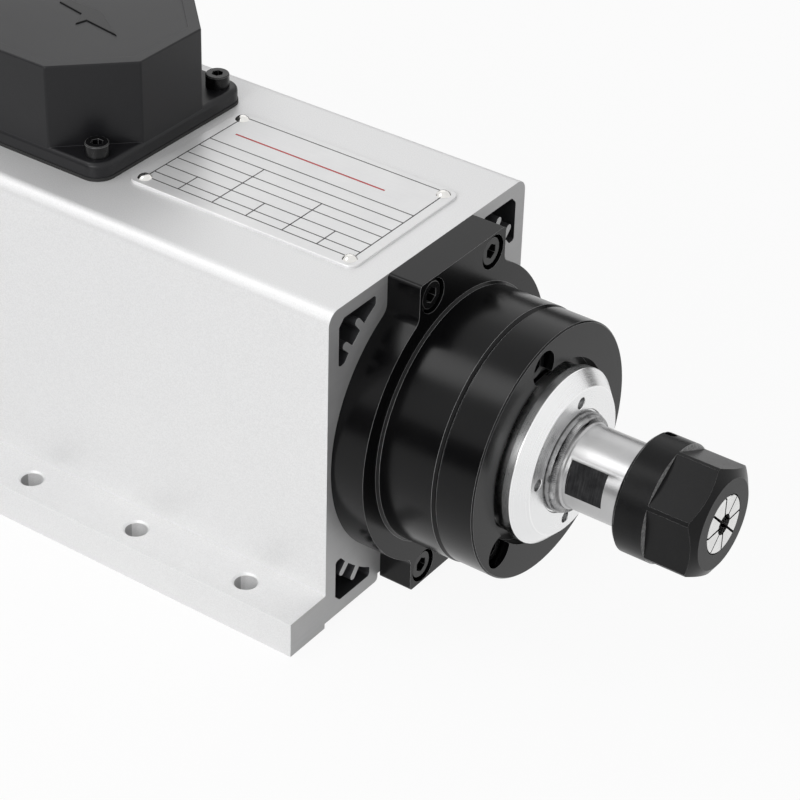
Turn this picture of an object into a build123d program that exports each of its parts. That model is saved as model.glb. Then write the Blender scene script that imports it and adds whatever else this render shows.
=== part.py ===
"""An air-cooled motor spindle with a foot-mounted aluminium housing, a collet and a collet nut.

The frame: +X runs along the spindle axis towards the tool, +Z is up, and the origin is the middle of the
eight foot holes, on the plane that the feet stand on. All sizes are in millimetres.
"""
import os
from math import cos, radians, sin, sqrt, tan

from build123d import *

# ---- Clearances ---------------------------------------------------------------------------------------
seat_gap = 0.02        # radial, between two pieces of one body that seat in each other
screw_gap = 0.05       # radial, round a screw's shank in its tapped hole
through_gap = 0.25     # radial, round a screw's shank in a plain hole
running_gap = 0.05     # radial, between the collet's taper and its socket, and in the nut's thread
ball_gap = 0.06        # between a bearing's balls and its grooves
cage_gap = 0.15        # between a bearing's balls and their pockets in the cage
air_gap = 0.5          # radial, between rotor and stator
labyrinth_gap = 0.6    # between the slinger disc and the front cap

# ---- Housing ------------------------------------------------------------------------------------------
body_width = 91.0
bore_wall = 4.5                # between the bore and the body's sides
bore_floor = 11.0              # between the bore and the feet's underside
bore_roof = 9.0                # between the bore and the body's top
housing_bore = body_width / 2 - bore_wall      # radius
axis_height = housing_bore + bore_floor
body_reach = housing_bore + bore_roof          # from the spindle axis to the body's top
body_top = axis_height + body_reach
body_corner = 4.0
foot_span = 122.2
foot_thickness = 11.2
foot_pad_width = 15.4
pad_relief = 1.6
belly_recess_width = 42.0
belly_recess_top = 4.0
belly_recess_round = 1.4
foot_hole_pitch = 39.4
foot_hole_inset = 21.4
foot_holes_per_side = 4
foot_hole_edge = 7.7           # from the foot's edge to the row of holes
foot_hole_row = foot_span / 2 - foot_hole_edge
foot_hole_radius = 3.3
foot_hole_chamfer = 0.6
housing_length = foot_hole_pitch * (foot_holes_per_side - 1) + 2 * foot_hole_inset
front = housing_length / 2     # the housing's front face
rear = -housing_length / 2     # its rear face

# The four corner air channels, as sizes from the spindle axis.
channel_inner_wall = 9.0       # between the bore and the channels
channel_side_wall = 4.5
channel_top_wall = 3.9
channel_end_height = 2.7987    # of the channel's end nearer to the middle of the body's top
channel_foot_width = 2.4155    # of its end nearer to the middle of the body's side
channel_chamfer = 2.1
channel_round = 1.0
channel_inner_radius = housing_bore + channel_inner_wall
channel_side = body_width / 2 - channel_side_wall
channel_top = body_reach - channel_top_wall
channel_width = channel_side - sqrt(channel_inner_radius ** 2 - (channel_top - channel_end_height) ** 2)
channel_height = channel_top - sqrt(channel_inner_radius ** 2 - (channel_side - channel_foot_width) ** 2)
fin_angles = (44.2, 51.8)      # degrees from +Y towards +Z
fin_height = 4.2
fin_width = 2.2

# ---- Front bearing housing, cap and slinger -----------------------------------------------------------
flange_thickness = 10.5
flange_cover = 2.8             # how far the flange's disc reaches past the housing's bore
flange_radius = housing_bore + flange_cover
ear_width = 40.0
ear_height = 2 * body_reach
ear_round = 3.5
ear_corner = 1.2
spigot_length = 8.0
nose_radius = 37.4
nose_length = 18.4
nose_chamfer = 0.9
nose_root = 0.7
cap_radius = 37.1
cap_thickness = 11.9
cap_edge = 0.4
cap_joint_radius = 36.5
cap_joint_width = 0.5
cap_recess_radius = 27.0
cap_recess_depth = 3.5
slinger_radius = 25.3
slinger_rim = 2.5
slinger_standoff = 1.2         # the rim's back face ahead of the cap's face
slinger_cone_radius = 21.3
slinger_cone_length = 3.75
slinger_seat_radius = 14.9
slinger_seat_depth = 0.6
slinger_hub_radius = 15.8
labyrinth_inner = 20.5
labyrinth_outer = 24.2
pin_hole_radius = 1.7
pin_hole_circle = 17.6
pin_hole_depth = 4.0
pin_hole_start = 83.5          # degrees from +Y towards +Z
stop_ring_radius = 14.4
stop_ring_land = 1.4           # the ring's smooth land, ahead of the slinger's face
stop_ring_knurl = 1.5          # its narrower knurled land
stop_ring_knurl_radius = 13.9
stop_ring_chamfer = 0.4

# ---- Bearings -----------------------------------------------------------------------------------------
front_bore = 12.5              # radius
front_outside = 23.5           # radius
front_width = 12.0
front_ball = 3.1               # radius
front_balls = 12
rear_bore = 8.5
rear_outside = 17.5
rear_width = 10.0
rear_ball = 2.4
rear_balls = 9
front_bearing_back = 3.5       # the rear front bearing's back face, ahead of the housing's front face
race_share = 0.30              # how much of a bearing's radial space each of its two rings takes
seal_thickness = 1.0
ball_cage_wall = 3.0
ball_cage_rim = 0.8            # beside the balls' pockets

# ---- Shaft --------------------------------------------------------------------------------------------
neck_radius = 12.0
neck_start = 52.2              # ahead of the housing's front face
thread_start = 71.5
thread_radius = 12.45
shaft_front = 85.3
shaft_shoulder_radius = 15.5
rotor_seat_radius = 14.0
rear_shoulder_radius = 11.0
fan_seat_radius = 6.0
fan_nut_thread = 4.0
wrench_flat_width = 21.9
wrench_flat_start = 53.2
wrench_flat_length = 11.2
wrench_flat_angle = 163.7
socket_taper_length = 35.0
socket_hole_length = 15.0
socket_hole_radius = 5.0

# ---- Collet and collet nut ----------------------------------------------------------------------------
collet_face = 94.6             # ahead of the housing's front face
collet_lip_radius = 8.3
collet_lip = 2.5
collet_groove_radius = 7.4
collet_groove = 2.2
collet_shoulder_radius = 10.5
collet_length = 31.5
collet_taper = 8.0             # degrees, half angle
collet_front_taper = 30.0
collet_bore = 3.0              # radius
collet_slots = 8               # from each end
collet_front_slot = 0.65
collet_rear_slot = 0.45
collet_web = 5.0
collet_play = 0.2              # between the collet's groove and the nut's snap ring
nut_radius = 17.0
nut_rear = 70.3
nut_hex_start = 79.8
nut_face = 94.4
nut_face_radius = 13.0
nut_cone_length = 2.4
nut_across_flats = 30.0
nut_rear_chamfer = 1.0
nut_corner_angle = 93.6
nut_pin_hole_radius = 1.8
nut_pin_hole_depth = 3.0
nut_pin_hole_start = 2.6
nut_pin_hole_angle = 65.7

# ---- Motor --------------------------------------------------------------------------------------------
core_length = 80.0
core_setback = 44.5            # from the housing's rear face to the core
stator_bore = 20.0
stator_slots = 12
stator_slot_width = 6.0
stator_slot_inner = 22.0
stator_slot_outer = 33.0
stator_slot_mouth = 1.6
coil_overhang = 15.0
coil_inner = 22.4
coil_outer = 36.0
coil_round = 4.0
cage_bars = 16
cage_bar_width = 2.0
cage_bar_depth = 4.0
cage_ring_length = 6.0
cage_ring_inner = 14.5

# ---- Rear end -----------------------------------------------------------------------------------------
rear_cover_thickness = 8.0
rear_cover_edge = 8.4          # from the housing's bore out to the cover's edge
rear_cover_radius = housing_bore + rear_cover_edge
rear_cover_gap = 0.6           # between the cover's edge and the cowl's inside
rear_spigot = 4.0
rear_screw_wall = 4.1          # from the housing's bore out to the screws' circle
rear_screw_circle = housing_bore + rear_screw_wall
rear_screw_angle = 57.86       # degrees from +Y towards +Z
rear_boss_radius = 26.0
rear_boss_length = 17.5
rear_shaft_hole = 9.5
spring_space = 2.4
spring_thickness = 0.7
cowl_length = 35.5
cowl_wall = 2.5
cowl_inset = 0.5               # how far the cowl lies inside the body's top
cowl_height = 2 * (body_reach - cowl_inset)
cowl_corner = 6.0
cowl_post_radius = 3.5
cowl_screw_wall = 5.5          # from the housing's bore out to the posts' circle
cowl_screw_circle = housing_bore + cowl_screw_wall
cowl_screw_depth = 9.0
grille_rings = 4
grille_pitch = 7.5
grille_slot = 3.4
grille_inner = 12.0
grille_rib = 4.0
grille_ribs = 6
fan_start = 11.5               # behind the housing's rear face
fan_inset = 3.0                # keeps the fan inside the circle of the rear cover's screws
fan_radius = housing_bore - fan_inset
fan_disc = 2.0
fan_blade_length = 12.0
fan_blades = 9
fan_blade_thickness = 1.8
fan_blade_bow = 5.5
fan_blade_sweep = 15.0
fan_hub_radius = 11.0
fan_hub_length = 15.0
fan_nut_length = 4.0
fan_nut_across_flats = 13.0

# ---- Screws -------------------------------------------------------------------------------------------
m5_thread = 2.5                # radius
m5_head = 4.25                 # radius
m5_head_height = 5.0
m5_key = 4.0                   # across flats
m4_thread = 2.0
m4_head = 3.5
m4_head_height = 4.0
m4_key = 3.0
m5_screw = (m5_thread, m5_head, m5_head_height, m5_key)
m4_screw = (m4_thread, m4_head, m4_head_height, m4_key)
tap_runout = 2.0               # how much deeper a tapped hole is than its screw
ear_screw_y = 14.0
ear_screw_inset = 5.5          # from the ears' ends
ear_screw_z = ear_height / 2 - ear_screw_inset
ear_screw_depth = 10.0
ear_counterbore_radius = 5.0
ear_counterbore_depth = 5.6
cap_screw_circle = 30.4
cap_screw_start = 101.4
cap_screws = 3
cap_screw_depth = 9.0
cap_counterbore_depth = 7.5

# ---- Terminal box -------------------------------------------------------------------------------------
box_x = -40.5
box_y = 1.0
box_side = 63.0
box_height = 30.0              # above the housing's top
box_wall = 2.5
box_roof = 3.0
box_flat = 26.0                # each of the four straight walls, wide enough for the gland
box_chamfer = (box_side - box_flat) / 2
box_pad_height = 5.3
box_pad_corner = 5.5
box_pad_lip = 0.4
box_pad_round = 1.5
box_edge_round = 1.2
box_roof_round = 0.5
box_panel_inset = 3.6
box_panel_depth = 0.4
box_screw_room = 3.95          # keeps the screws' heads off the slanted walls
box_screw_inset = box_chamfer / 2 - box_screw_room
box_screw_row = box_side / 2 - box_screw_inset
box_screw_depth = 8.0
gasket_thickness = 1.0
gasket_lip = 0.2
lead_hole_gap = 7.0            # behind the coils' end turns
lead_hole_radius = 5.0
lead_radius = 1.1
lead_pitch = 3.0
lead_bend = 3.0                # radius
lead_lug = 5.0                 # the neck between a lead and its eyelet
block_length = 14.0
block_width = 34.0
block_height = 10.0
block_floor = 3.0              # below the studs
block_x = box_x + 4.5
block_rib_width = 1.6
block_rib_height = 3.0
stud_radius = 2.0
stud_pitch = 11.0
stud_length = 9.0
stud_nut_radius = 3.6
stud_nut_height = 3.0
eyelet_thickness = 0.8
gland_rise = 15.2              # above the housing's top
gland_z = body_top + gland_rise
gland_thread = 8.0
gland_hex = 20.0
gland_hex_length = 5.0
gland_nut_length = 14.0
gland_nut_end = 3.0
gland_nut_radius = 10.6
gland_nut_groove = 1.2
gland_nut_grooves = 12
gland_nut_round = 3.0
gland_cable_radius = 4.25
gland_bore = gland_cable_radius + 0.8
gland_seal_lip = 1.0            # how far the seal's thin lips reach into the bores at its ends
gland_seal_radius = 6.6
gland_seal_inset = 3.0         # how far the seal starts inside the body's hexagon
locknut_length = 4.0

# ---- Nameplate ----------------------------------------------------------------------------------------
plate_x = 33.8
plate_y = 0.7
plate_length = 77.0
plate_width = 50.0
plate_thickness = 0.8
plate_corner = 3.0
rivet_inset = 3.5
rivet_radius = 1.2
rivet_head_radius = 2.1
rivet_head_height = 1.1
rivet_length = 5.0

# ---- Places worked out from the sizes -----------------------------------------------------------------
up = Pos(0, 0, axis_height)
base_align = (Align.CENTER, Align.CENTER, Align.MIN)
top_align = (Align.CENTER, Align.CENTER, Align.MAX)
flange_face = front + flange_thickness
nose_face = flange_face + nose_length
cap_face = nose_face + cap_thickness
rim_back = cap_face + slinger_standoff
rim_front = rim_back + slinger_rim
slinger_face = rim_front + slinger_cone_length
front_bearing = (front_bore, front_outside, front_width, front_ball)
rear_bearing = (rear_bore, rear_outside, rear_width, rear_ball)
bearings_back = front + front_bearing_back
bearings_front = bearings_back + 2 * front_width
front_backs = [bearings_back, bearings_back + front_width]
front_shoulder = front_outside - race_share * (front_outside - front_bore)
rear_shoulder = rear_outside - race_share * (rear_outside - rear_bore)
core_back = rear + core_setback
core_front = core_back + core_length
coil_back = core_back - coil_overhang
lead_hole_x = coil_back - lead_hole_gap
rotor_radius = stator_bore - air_gap
boss_front = rear + rear_boss_length
rear_bearing_back = rear + spring_space + rear_spigot
rear_bearing_front = rear_bearing_back + rear_width
rear_screw_y = rear_screw_circle * cos(radians(rear_screw_angle))
rear_screw_z = rear_screw_circle * sin(radians(rear_screw_angle))
cover_back = rear - rear_cover_thickness
cowl_back = rear - cowl_length
fan_front = rear - fan_start
fan_back = fan_front - fan_hub_length
shaft_end = front + shaft_front
socket_mouth = front + collet_face - collet_lip - collet_groove - (
    collet_shoulder_radius - collet_lip_radius) / tan(radians(collet_front_taper))


# ---- Helpers ------------------------------------------------------------------------------------------
def turned(*outline):
    """A turned piece: its outline of (x, radius) points, spun about the spindle axis."""
    return up * revolve(make_face(Polyline(*outline, close=True)), Axis.X)


def tube(start, end, inner, outer):
    """A plain ring on the spindle axis from x = start to x = end."""
    return turned((start, inner), (start, outer), (end, outer), (end, inner))


def rod(radius, length):
    """A round rod along +X that starts at the origin."""
    return Rot(0, 90, 0) * Cylinder(radius, length, align=base_align)


def hex_rod(across_flats, length):
    """A hexagonal rod along +X that starts at the origin, with two corners up and down."""
    section = Plane.YZ * RegularPolygon(across_flats / 2, 6, major_radius=False, rotation=30)
    return extrude(section, length, dir=(1, 0, 0))


def round_axis(piece, radius, angles):
    """Copies of a piece, each moved out from the spindle axis at an angle from +Y towards +Z."""
    return [up * Pos(0, radius * cos(radians(a)), radius * sin(radians(a))) * piece for a in angles]


def spread(start, count):
    """Equally spaced angles, in degrees."""
    return [start + 360 / count * i for i in range(count)]


def at_corners(piece, y, z):
    """Four copies of a piece, at plus and minus y and z from the spindle axis."""
    return [up * Pos(0, side * y, level * z) * piece for side in (-1, 1) for level in (-1, 1)]


def socket_screw(sizes, shank):
    """A cap screw along X: its head starts at the origin and points to +X, its shank to -X."""
    thread, head_radius, head_height, across_flats = sizes
    head = rod(head_radius, head_height)
    head = chamfer(head.edges().group_by(Axis.X)[-1], 0.08 * head_radius)
    socket = Pos(head_height / 2, 0, 0) * hex_rod(across_flats, head_height)
    return head - socket + Pos(-shank, 0, 0) * rod(thread, shank)


# ---- Housing ------------------------------------------------------------------------------------------
def housing_outline():
    """The extrusion's outer section, feet and belly recess included."""
    half = [
        (body_width / 2, body_top), (body_width / 2, foot_thickness), (foot_span / 2, foot_thickness),
        (foot_span / 2, 0), (foot_span / 2 - foot_pad_width, 0),
        (foot_span / 2 - foot_pad_width, pad_relief), (belly_recess_width / 2, pad_relief),
        (belly_recess_width / 2, belly_recess_top),
    ]
    outline = make_face(Polyline(*half, *[(-y, z) for y, z in reversed(half)], close=True))
    top = outline.vertices().group_by(Axis.Y)[-1]
    outline = fillet(top, body_corner)
    lip = [v for v in outline.vertices()
           if abs(abs(v.X) - belly_recess_width / 2) < 0.01 and abs(v.Y - pad_relief) < 0.01]
    return fillet(lip, belly_recess_round)


def channel_section():
    """One corner air channel, up and to +Y of the spindle axis, with its two cooling fins."""
    inner_y = channel_side - channel_width
    inner_z = channel_top - channel_height
    channel = make_face(Polyline(
        (inner_y, inner_z), (channel_side, inner_z),
        (channel_side, channel_top - channel_chamfer), (channel_side - channel_chamfer, channel_top),
        (inner_y, channel_top), close=True))
    channel -= Circle(channel_inner_radius)
    channel = fillet(channel.vertices(), channel_round)
    fin_root = channel_inner_radius - fin_width
    fin_length = fin_width + fin_height
    for angle in fin_angles:
        channel -= Rot(0, 0, angle) * Pos(fin_root + fin_length / 2, 0) * SlotOverall(fin_length, fin_width)
    return channel


def housing_section():
    """The extrusion's whole section, in the plane of Y and Z."""
    section = housing_outline() - Pos(0, axis_height) * Circle(housing_bore)
    for turn in (0, 180):
        for flip in (0, 180):
            section -= Pos(0, axis_height) * Rot(flip, turn, 0) * channel_section()
    return section


def motor_housing():
    """The finned aluminium extrusion with its feet, foot holes, tapped end holes and wire hole."""
    housing = Pos(rear, 0, 0) * extrude(Plane.YZ * housing_section(), housing_length, dir=(1, 0, 0))
    hole = Cylinder(foot_hole_radius, foot_thickness, align=base_align)
    wide = foot_hole_radius + foot_hole_chamfer
    sink = Pos(0, 0, foot_thickness - foot_hole_chamfer) * Cone(
        foot_hole_radius, wide, foot_hole_chamfer, align=base_align)
    for x in foot_hole_places():
        for side in (-1, 1):
            housing -= Pos(x, side * foot_hole_row, 0) * (hole + sink)
    tapped = rod(m5_thread + screw_gap, ear_screw_depth + tap_runout)
    for end, y, z in ((front - ear_screw_depth - tap_runout, ear_screw_y, ear_screw_z),
                      (rear, rear_screw_y, rear_screw_z)):
        housing -= [Pos(end, 0, 0) * h for h in at_corners(tapped, y, z)]
    cowl_hole = rod(m4_thread + screw_gap, cowl_screw_depth + tap_runout)
    housing -= [Pos(rear, 0, 0) * h for h in round_axis(cowl_hole, cowl_screw_circle, spread(45, 4))]
    housing -= Pos(lead_hole_x, 0, axis_height) * Cylinder(lead_hole_radius, body_top, align=base_align)
    box_hole = Cylinder(m4_thread + screw_gap, box_screw_depth + tap_runout, align=top_align)
    housing -= [Pos(x, y, body_top) * box_hole for x, y in box_screw_places()]
    rivet_hole = Cylinder(rivet_radius + seat_gap, rivet_length, align=top_align)
    return housing - [Pos(x, y, body_top) * rivet_hole for x, y in rivet_places()]


def foot_hole_places():
    """Where each side's foot holes are along X."""
    return [rear + foot_hole_inset + foot_hole_pitch * i for i in range(foot_holes_per_side)]


# ---- Front end ----------------------------------------------------------------------------------------
def eared_plate(disc_radius, thickness):
    """A round plate with a straight ear above and below, standing on the origin along +X."""
    section = Circle(disc_radius) + Rectangle(ear_width, ear_height)
    inner = [v for v in section.vertices() if abs(v.Y) < ear_height / 2 - 1]
    section = fillet(inner, ear_round)
    tips = [v for v in section.vertices() if abs(v.Y) > ear_height / 2 - 1]
    return up * extrude(Plane.YZ * fillet(tips, ear_corner), thickness, dir=(1, 0, 0))


def ear_holes(face, depth):
    """Plain holes with counterbores for the four ear screws, in a plate whose outer face is at x = 0."""
    hole = Pos(-depth - 1, 0, 0) * rod(m5_thread + through_gap, depth + 1)
    sink = Pos(-ear_counterbore_depth, 0, 0) * rod(ear_counterbore_radius, ear_counterbore_depth)
    return at_corners(face * (hole + sink), ear_screw_y, ear_screw_z)


def front_flange():
    """The black bearing housing: eared flange, spigot into the motor housing, and nose."""
    flange = Pos(front, 0, 0) * eared_plate(flange_radius, flange_thickness)
    flange += turned((front - spigot_length, 0), (front - spigot_length, housing_bore - seat_gap),
                     (front + 1, housing_bore - seat_gap), (flange_face - 1, nose_radius),
                     (flange_face - 1, nose_radius + nose_root), (flange_face, nose_radius + nose_root),
                     (flange_face + nose_root, nose_radius),
                     (nose_face - nose_chamfer, nose_radius), (nose_face, nose_radius - nose_chamfer),
                     (nose_face, 0))
    flange -= tube(bearings_back, nose_face, 0, front_outside + seat_gap)
    flange -= tube(front - spigot_length, bearings_back, 0, front_shoulder)
    flange -= ear_holes(Pos(flange_face, 0, 0), flange_thickness)
    tapped = Pos(nose_face - cap_screw_depth, 0, 0) * rod(m5_thread + screw_gap, cap_screw_depth)
    return flange - round_axis(tapped, cap_screw_circle, spread(cap_screw_start, cap_screws))


def front_cap():
    """The cap over the front bearings, with the recess that the slinger's labyrinth runs in."""
    bore = slinger_hub_radius + labyrinth_gap
    lip = front_outside - seat_gap
    joint = nose_face + cap_joint_width
    recess = cap_face - cap_recess_depth
    cap = turned(
        (bearings_front, front_shoulder), (bearings_front, lip), (nose_face, lip),
        (nose_face, cap_joint_radius), (joint, cap_joint_radius), (joint, cap_radius),
        (cap_face - cap_edge, cap_radius), (cap_face, cap_radius - cap_edge),
        (cap_face, cap_recess_radius), (recess, cap_recess_radius), (recess, bore), (joint, bore),
        (joint, front_shoulder))
    hole = rod(m5_thread + through_gap, cap_thickness)
    sink = Pos(cap_thickness - cap_counterbore_depth, 0, 0) * rod(ear_counterbore_radius,
                                                                  cap_counterbore_depth)
    holes = Pos(nose_face, 0, 0) * (hole + sink)
    return cap - round_axis(holes, cap_screw_circle, spread(cap_screw_start, cap_screws))


def slinger_disc():
    """The bright slinger disc: hub against the bearings, labyrinth rib, rim, cone and pin holes."""
    rib_back = cap_face - cap_recess_depth + labyrinth_gap
    bore = front_bore + seat_gap
    seat_face = slinger_face - slinger_seat_depth
    disc = turned(
        (bearings_front, bore), (bearings_front, slinger_hub_radius), (rim_back, slinger_hub_radius),
        (rim_back, labyrinth_inner), (rib_back, labyrinth_inner), (rib_back, labyrinth_outer),
        (rim_back, labyrinth_outer), (rim_back, slinger_radius), (rim_front, slinger_radius),
        (slinger_face, slinger_cone_radius), (slinger_face, slinger_seat_radius),
        (seat_face, slinger_seat_radius), (seat_face, bore))
    hole = Pos(slinger_face - pin_hole_depth, 0, 0) * rod(pin_hole_radius, pin_hole_depth + 1)
    return disc - round_axis(hole, pin_hole_circle, spread(pin_hole_start, 4))


def slinger_stop_ring():
    """The lock ring that holds the slinger on the shaft: a smooth land, and a narrower knurled one."""
    inner = front_bore + seat_gap
    back = slinger_face - slinger_seat_depth
    land = slinger_face + stop_ring_land
    face = land + stop_ring_knurl
    return turned((back, inner), (back, stop_ring_radius), (land, stop_ring_radius),
                  (land, stop_ring_knurl_radius), (face - stop_ring_chamfer, stop_ring_knurl_radius),
                  (face, stop_ring_knurl_radius - stop_ring_chamfer), (face, inner))


# ---- Bearings -----------------------------------------------------------------------------------------
def race(bearing, back, outer):
    """One ring of a ball bearing, the outer or the inner one, with its round groove."""
    bore, outside, width, ball = bearing
    wall = race_share * (outside - bore)
    if outer:
        ring = tube(back, back + width, outside - wall, outside - seat_gap)
    else:
        ring = tube(back, back + width, bore + seat_gap, bore + wall)
    middle = up * Pos(back + width / 2, 0, 0) * Rot(0, 90, 0)
    return ring - middle * Torus((bore + outside) / 2, ball + ball_gap)


def races(bearing, backs, outer):
    """The same ring for each bearing of a set."""
    return Compound(children=[race(bearing, back, outer) for back in backs])


def balls(bearing, backs, count):
    """The balls of each bearing of a set."""
    bore, outside, width, ball = bearing
    return Compound(children=[
        Pos(back + width / 2, 0, 0) * one for back in backs
        for one in round_axis(Sphere(ball), (bore + outside) / 2, spread(0, count))])


def ball_cages(bearing, backs, count):
    """The cage of each bearing of a set: a ring with a round pocket for each ball."""
    bore, outside, width, ball = bearing
    middle = (bore + outside) / 2
    half = ball + ball_cage_rim
    pocket = Cylinder(ball + cage_gap, outside, align=base_align)
    cages = []
    for back in backs:
        centre = back + width / 2
        cage = tube(centre - half, centre + half, middle - ball_cage_wall / 2,
                    middle + ball_cage_wall / 2)
        cages.append(cage - [up * Pos(centre, 0, 0) * Rot(a - 90, 0, 0) * pocket
                             for a in spread(0, count)])
    return Compound(children=cages)


def seals(bearing, faces):
    """Seal discs that close a bearing's ends, a running gap away from the inner ring."""
    bore, outside, _, _ = bearing
    wall = race_share * (outside - bore)
    return Compound(children=[
        tube(x, x + seal_thickness, bore + wall + labyrinth_gap / 2, outside - wall - seat_gap)
        for x in faces])


# ---- Shaft and rotor ----------------------------------------------------------------------------------
def spindle_shaft():
    """The stepped shaft, with the collet's taper socket, the wrench flats and the fan's threaded end."""
    journal = front_bore
    shaft = turned(
        (fan_back - fan_nut_length - 2, 0), (fan_back - fan_nut_length - 2, fan_nut_thread),
        (fan_back, fan_nut_thread), (fan_back, fan_seat_radius), (fan_front, fan_seat_radius),
        (fan_front, rear_bore), (rear_bearing_front, rear_bore),
        (rear_bearing_front, rear_shoulder_radius), (core_back - cage_ring_length, rear_shoulder_radius),
        (core_back - cage_ring_length, rotor_seat_radius),
        (core_front + cage_ring_length, rotor_seat_radius),
        (core_front + cage_ring_length, shaft_shoulder_radius), (bearings_back, shaft_shoulder_radius),
        (bearings_back, journal), (front + neck_start - 0.4, journal), (front + neck_start, neck_radius),
        (front + thread_start, neck_radius), (front + thread_start + 0.4, thread_radius),
        (shaft_end - 0.6, thread_radius), (shaft_end, thread_radius - 0.6), (shaft_end, 0))
    slope = tan(radians(collet_taper))
    mouth = collet_shoulder_radius + running_gap - (socket_mouth - shaft_end) * slope
    taper_end = shaft_end - socket_taper_length
    hole_end = taper_end - socket_hole_length
    socket = turned((hole_end, 0), (hole_end, socket_hole_radius), (taper_end, socket_hole_radius),
                    (taper_end, mouth - socket_taper_length * slope), (shaft_end, mouth),
                    (shaft_end, 0))
    side = 2 * neck_radius
    flat = Pos(front + wrench_flat_start, 0, wrench_flat_width / 2) * Box(
        wrench_flat_length, side, side, align=(Align.MIN, Align.CENTER, Align.MIN))
    flats = [up * Rot(wrench_flat_angle - 90 + half, 0, 0) * flat for half in (0, 180)]
    return shaft - socket - flats


def rotor_core():
    """The rotor's lamination stack, with a slot for each bar of the cage."""
    core = tube(core_back, core_front, rotor_seat_radius + seat_gap, rotor_radius)
    slot = Pos(core_back, 0, 0) * Box(core_length, cage_bar_width, cage_bar_depth,
                                      align=(Align.MIN, Align.CENTER, Align.MAX))
    return core - [up * Rot(a, 0, 0) * Pos(0, 0, cage_bar_top()) * slot for a in spread(0, cage_bars)]


def cage_bar_top():
    """The radius of the outer face of the cage's bars."""
    return rotor_radius - 0.6


def rotor_cage():
    """The squirrel cage: two end rings joined by the bars that lie in the core's slots."""
    top = rotor_radius - 0.3
    cage = tube(core_back - cage_ring_length, core_back, cage_ring_inner, top)
    cage += tube(core_front, core_front + cage_ring_length, cage_ring_inner, top)
    length = core_length + cage_ring_length
    bar = Pos(core_back - cage_ring_length / 2, 0, 0) * Box(
        length, cage_bar_width - 2 * seat_gap, cage_bar_depth - 2 * seat_gap,
        align=(Align.MIN, Align.CENTER, Align.MAX))
    place = Pos(0, 0, cage_bar_top() - seat_gap)
    return cage + [up * Rot(a, 0, 0) * place * bar for a in spread(0, cage_bars)]


# ---- Stator -------------------------------------------------------------------------------------------
def slot_shape(width, inner, outer, mouth):
    """A stator slot's section, opening towards the bore, in the plane of Y and Z."""
    slot = Pos(0, (inner + outer) / 2) * Rectangle(width, outer - inner)
    if mouth:
        slot += Pos(0, inner - 1.5) * Rectangle(mouth, 5)
    return slot


def stator_core():
    """The stator's lamination stack with its winding slots, a close fit in the housing's bore."""
    core = tube(core_back, core_front, stator_bore, housing_bore - seat_gap)
    slot = Pos(core_back, 0, 0) * extrude(
        Plane.YZ * slot_shape(stator_slot_width, stator_slot_inner, stator_slot_outer, stator_slot_mouth),
        core_length, dir=(1, 0, 0))
    return core - [up * Rot(a, 0, 0) * slot for a in spread(0, stator_slots)]


def stator_windings():
    """The coils: a bundle in each slot, and the lacquered end turns at both ends of the core."""
    windings = None
    for start, way in ((core_front, 1), (core_back, -1)):
        end = start + way * coil_overhang
        soft = way * coil_round
        ring = turned((start, coil_inner), (start, coil_outer), (end - soft, coil_outer),
                      (end, coil_outer - coil_round), (end, coil_inner + coil_round),
                      (end - soft, coil_inner))
        windings = ring if windings is None else windings + ring
    gap = 2 * seat_gap
    bundle = Pos(core_back - 1, 0, 0) * extrude(
        Plane.YZ * slot_shape(stator_slot_width - gap, coil_inner + seat_gap, stator_slot_outer - gap, 0),
        core_length + 2, dir=(1, 0, 0))
    return windings + [up * Rot(a, 0, 0) * bundle for a in spread(0, stator_slots)]


# ---- Rear end -----------------------------------------------------------------------------------------
def rear_bearing_cover():
    """The rear end plate inside the cowl, with the rear bearing's seat and its spring's seat."""
    inside = 2 * (cowl_wall + rear_cover_gap)
    section = Circle(rear_cover_radius) & Rectangle(body_width - inside, cowl_height - inside)
    cover = up * Pos(cover_back, 0, 0) * extrude(
        Plane.YZ * section, rear_cover_thickness, dir=(1, 0, 0))
    cover += turned((rear - 1, 0), (rear - 1, housing_bore - seat_gap),
                    (rear + rear_spigot, housing_bore - seat_gap), (rear + rear_spigot, rear_boss_radius),
                    (boss_front, rear_boss_radius), (boss_front, 0))
    seat_end = rear_bearing_back - spring_space
    cover -= tube(seat_end, boss_front, 0, rear_outside + seat_gap)
    cover -= tube(cover_back, seat_end, 0, rear_shaft_hole)
    hole = Pos(cover_back - 1, 0, 0) * rod(m5_thread + through_gap, rear_cover_thickness + 2)
    cover -= at_corners(hole, rear_screw_y, rear_screw_z)
    hole = Pos(cover_back - 1, 0, 0) * rod(m4_thread + through_gap, rear_cover_thickness + 2)
    return cover - round_axis(hole, cowl_screw_circle, spread(45, 4))


def preload_spring():
    """The disc spring that pushes the rear bearing's outer ring forwards."""
    seat_end = rear_bearing_back - spring_space + seat_gap
    front_end = rear_bearing_back - seat_gap
    outer = rear_outside - through_gap
    return turned((seat_end, rear_shoulder), (seat_end + spring_thickness, rear_shoulder),
                  (front_end, outer), (front_end - spring_thickness, outer))


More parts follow.
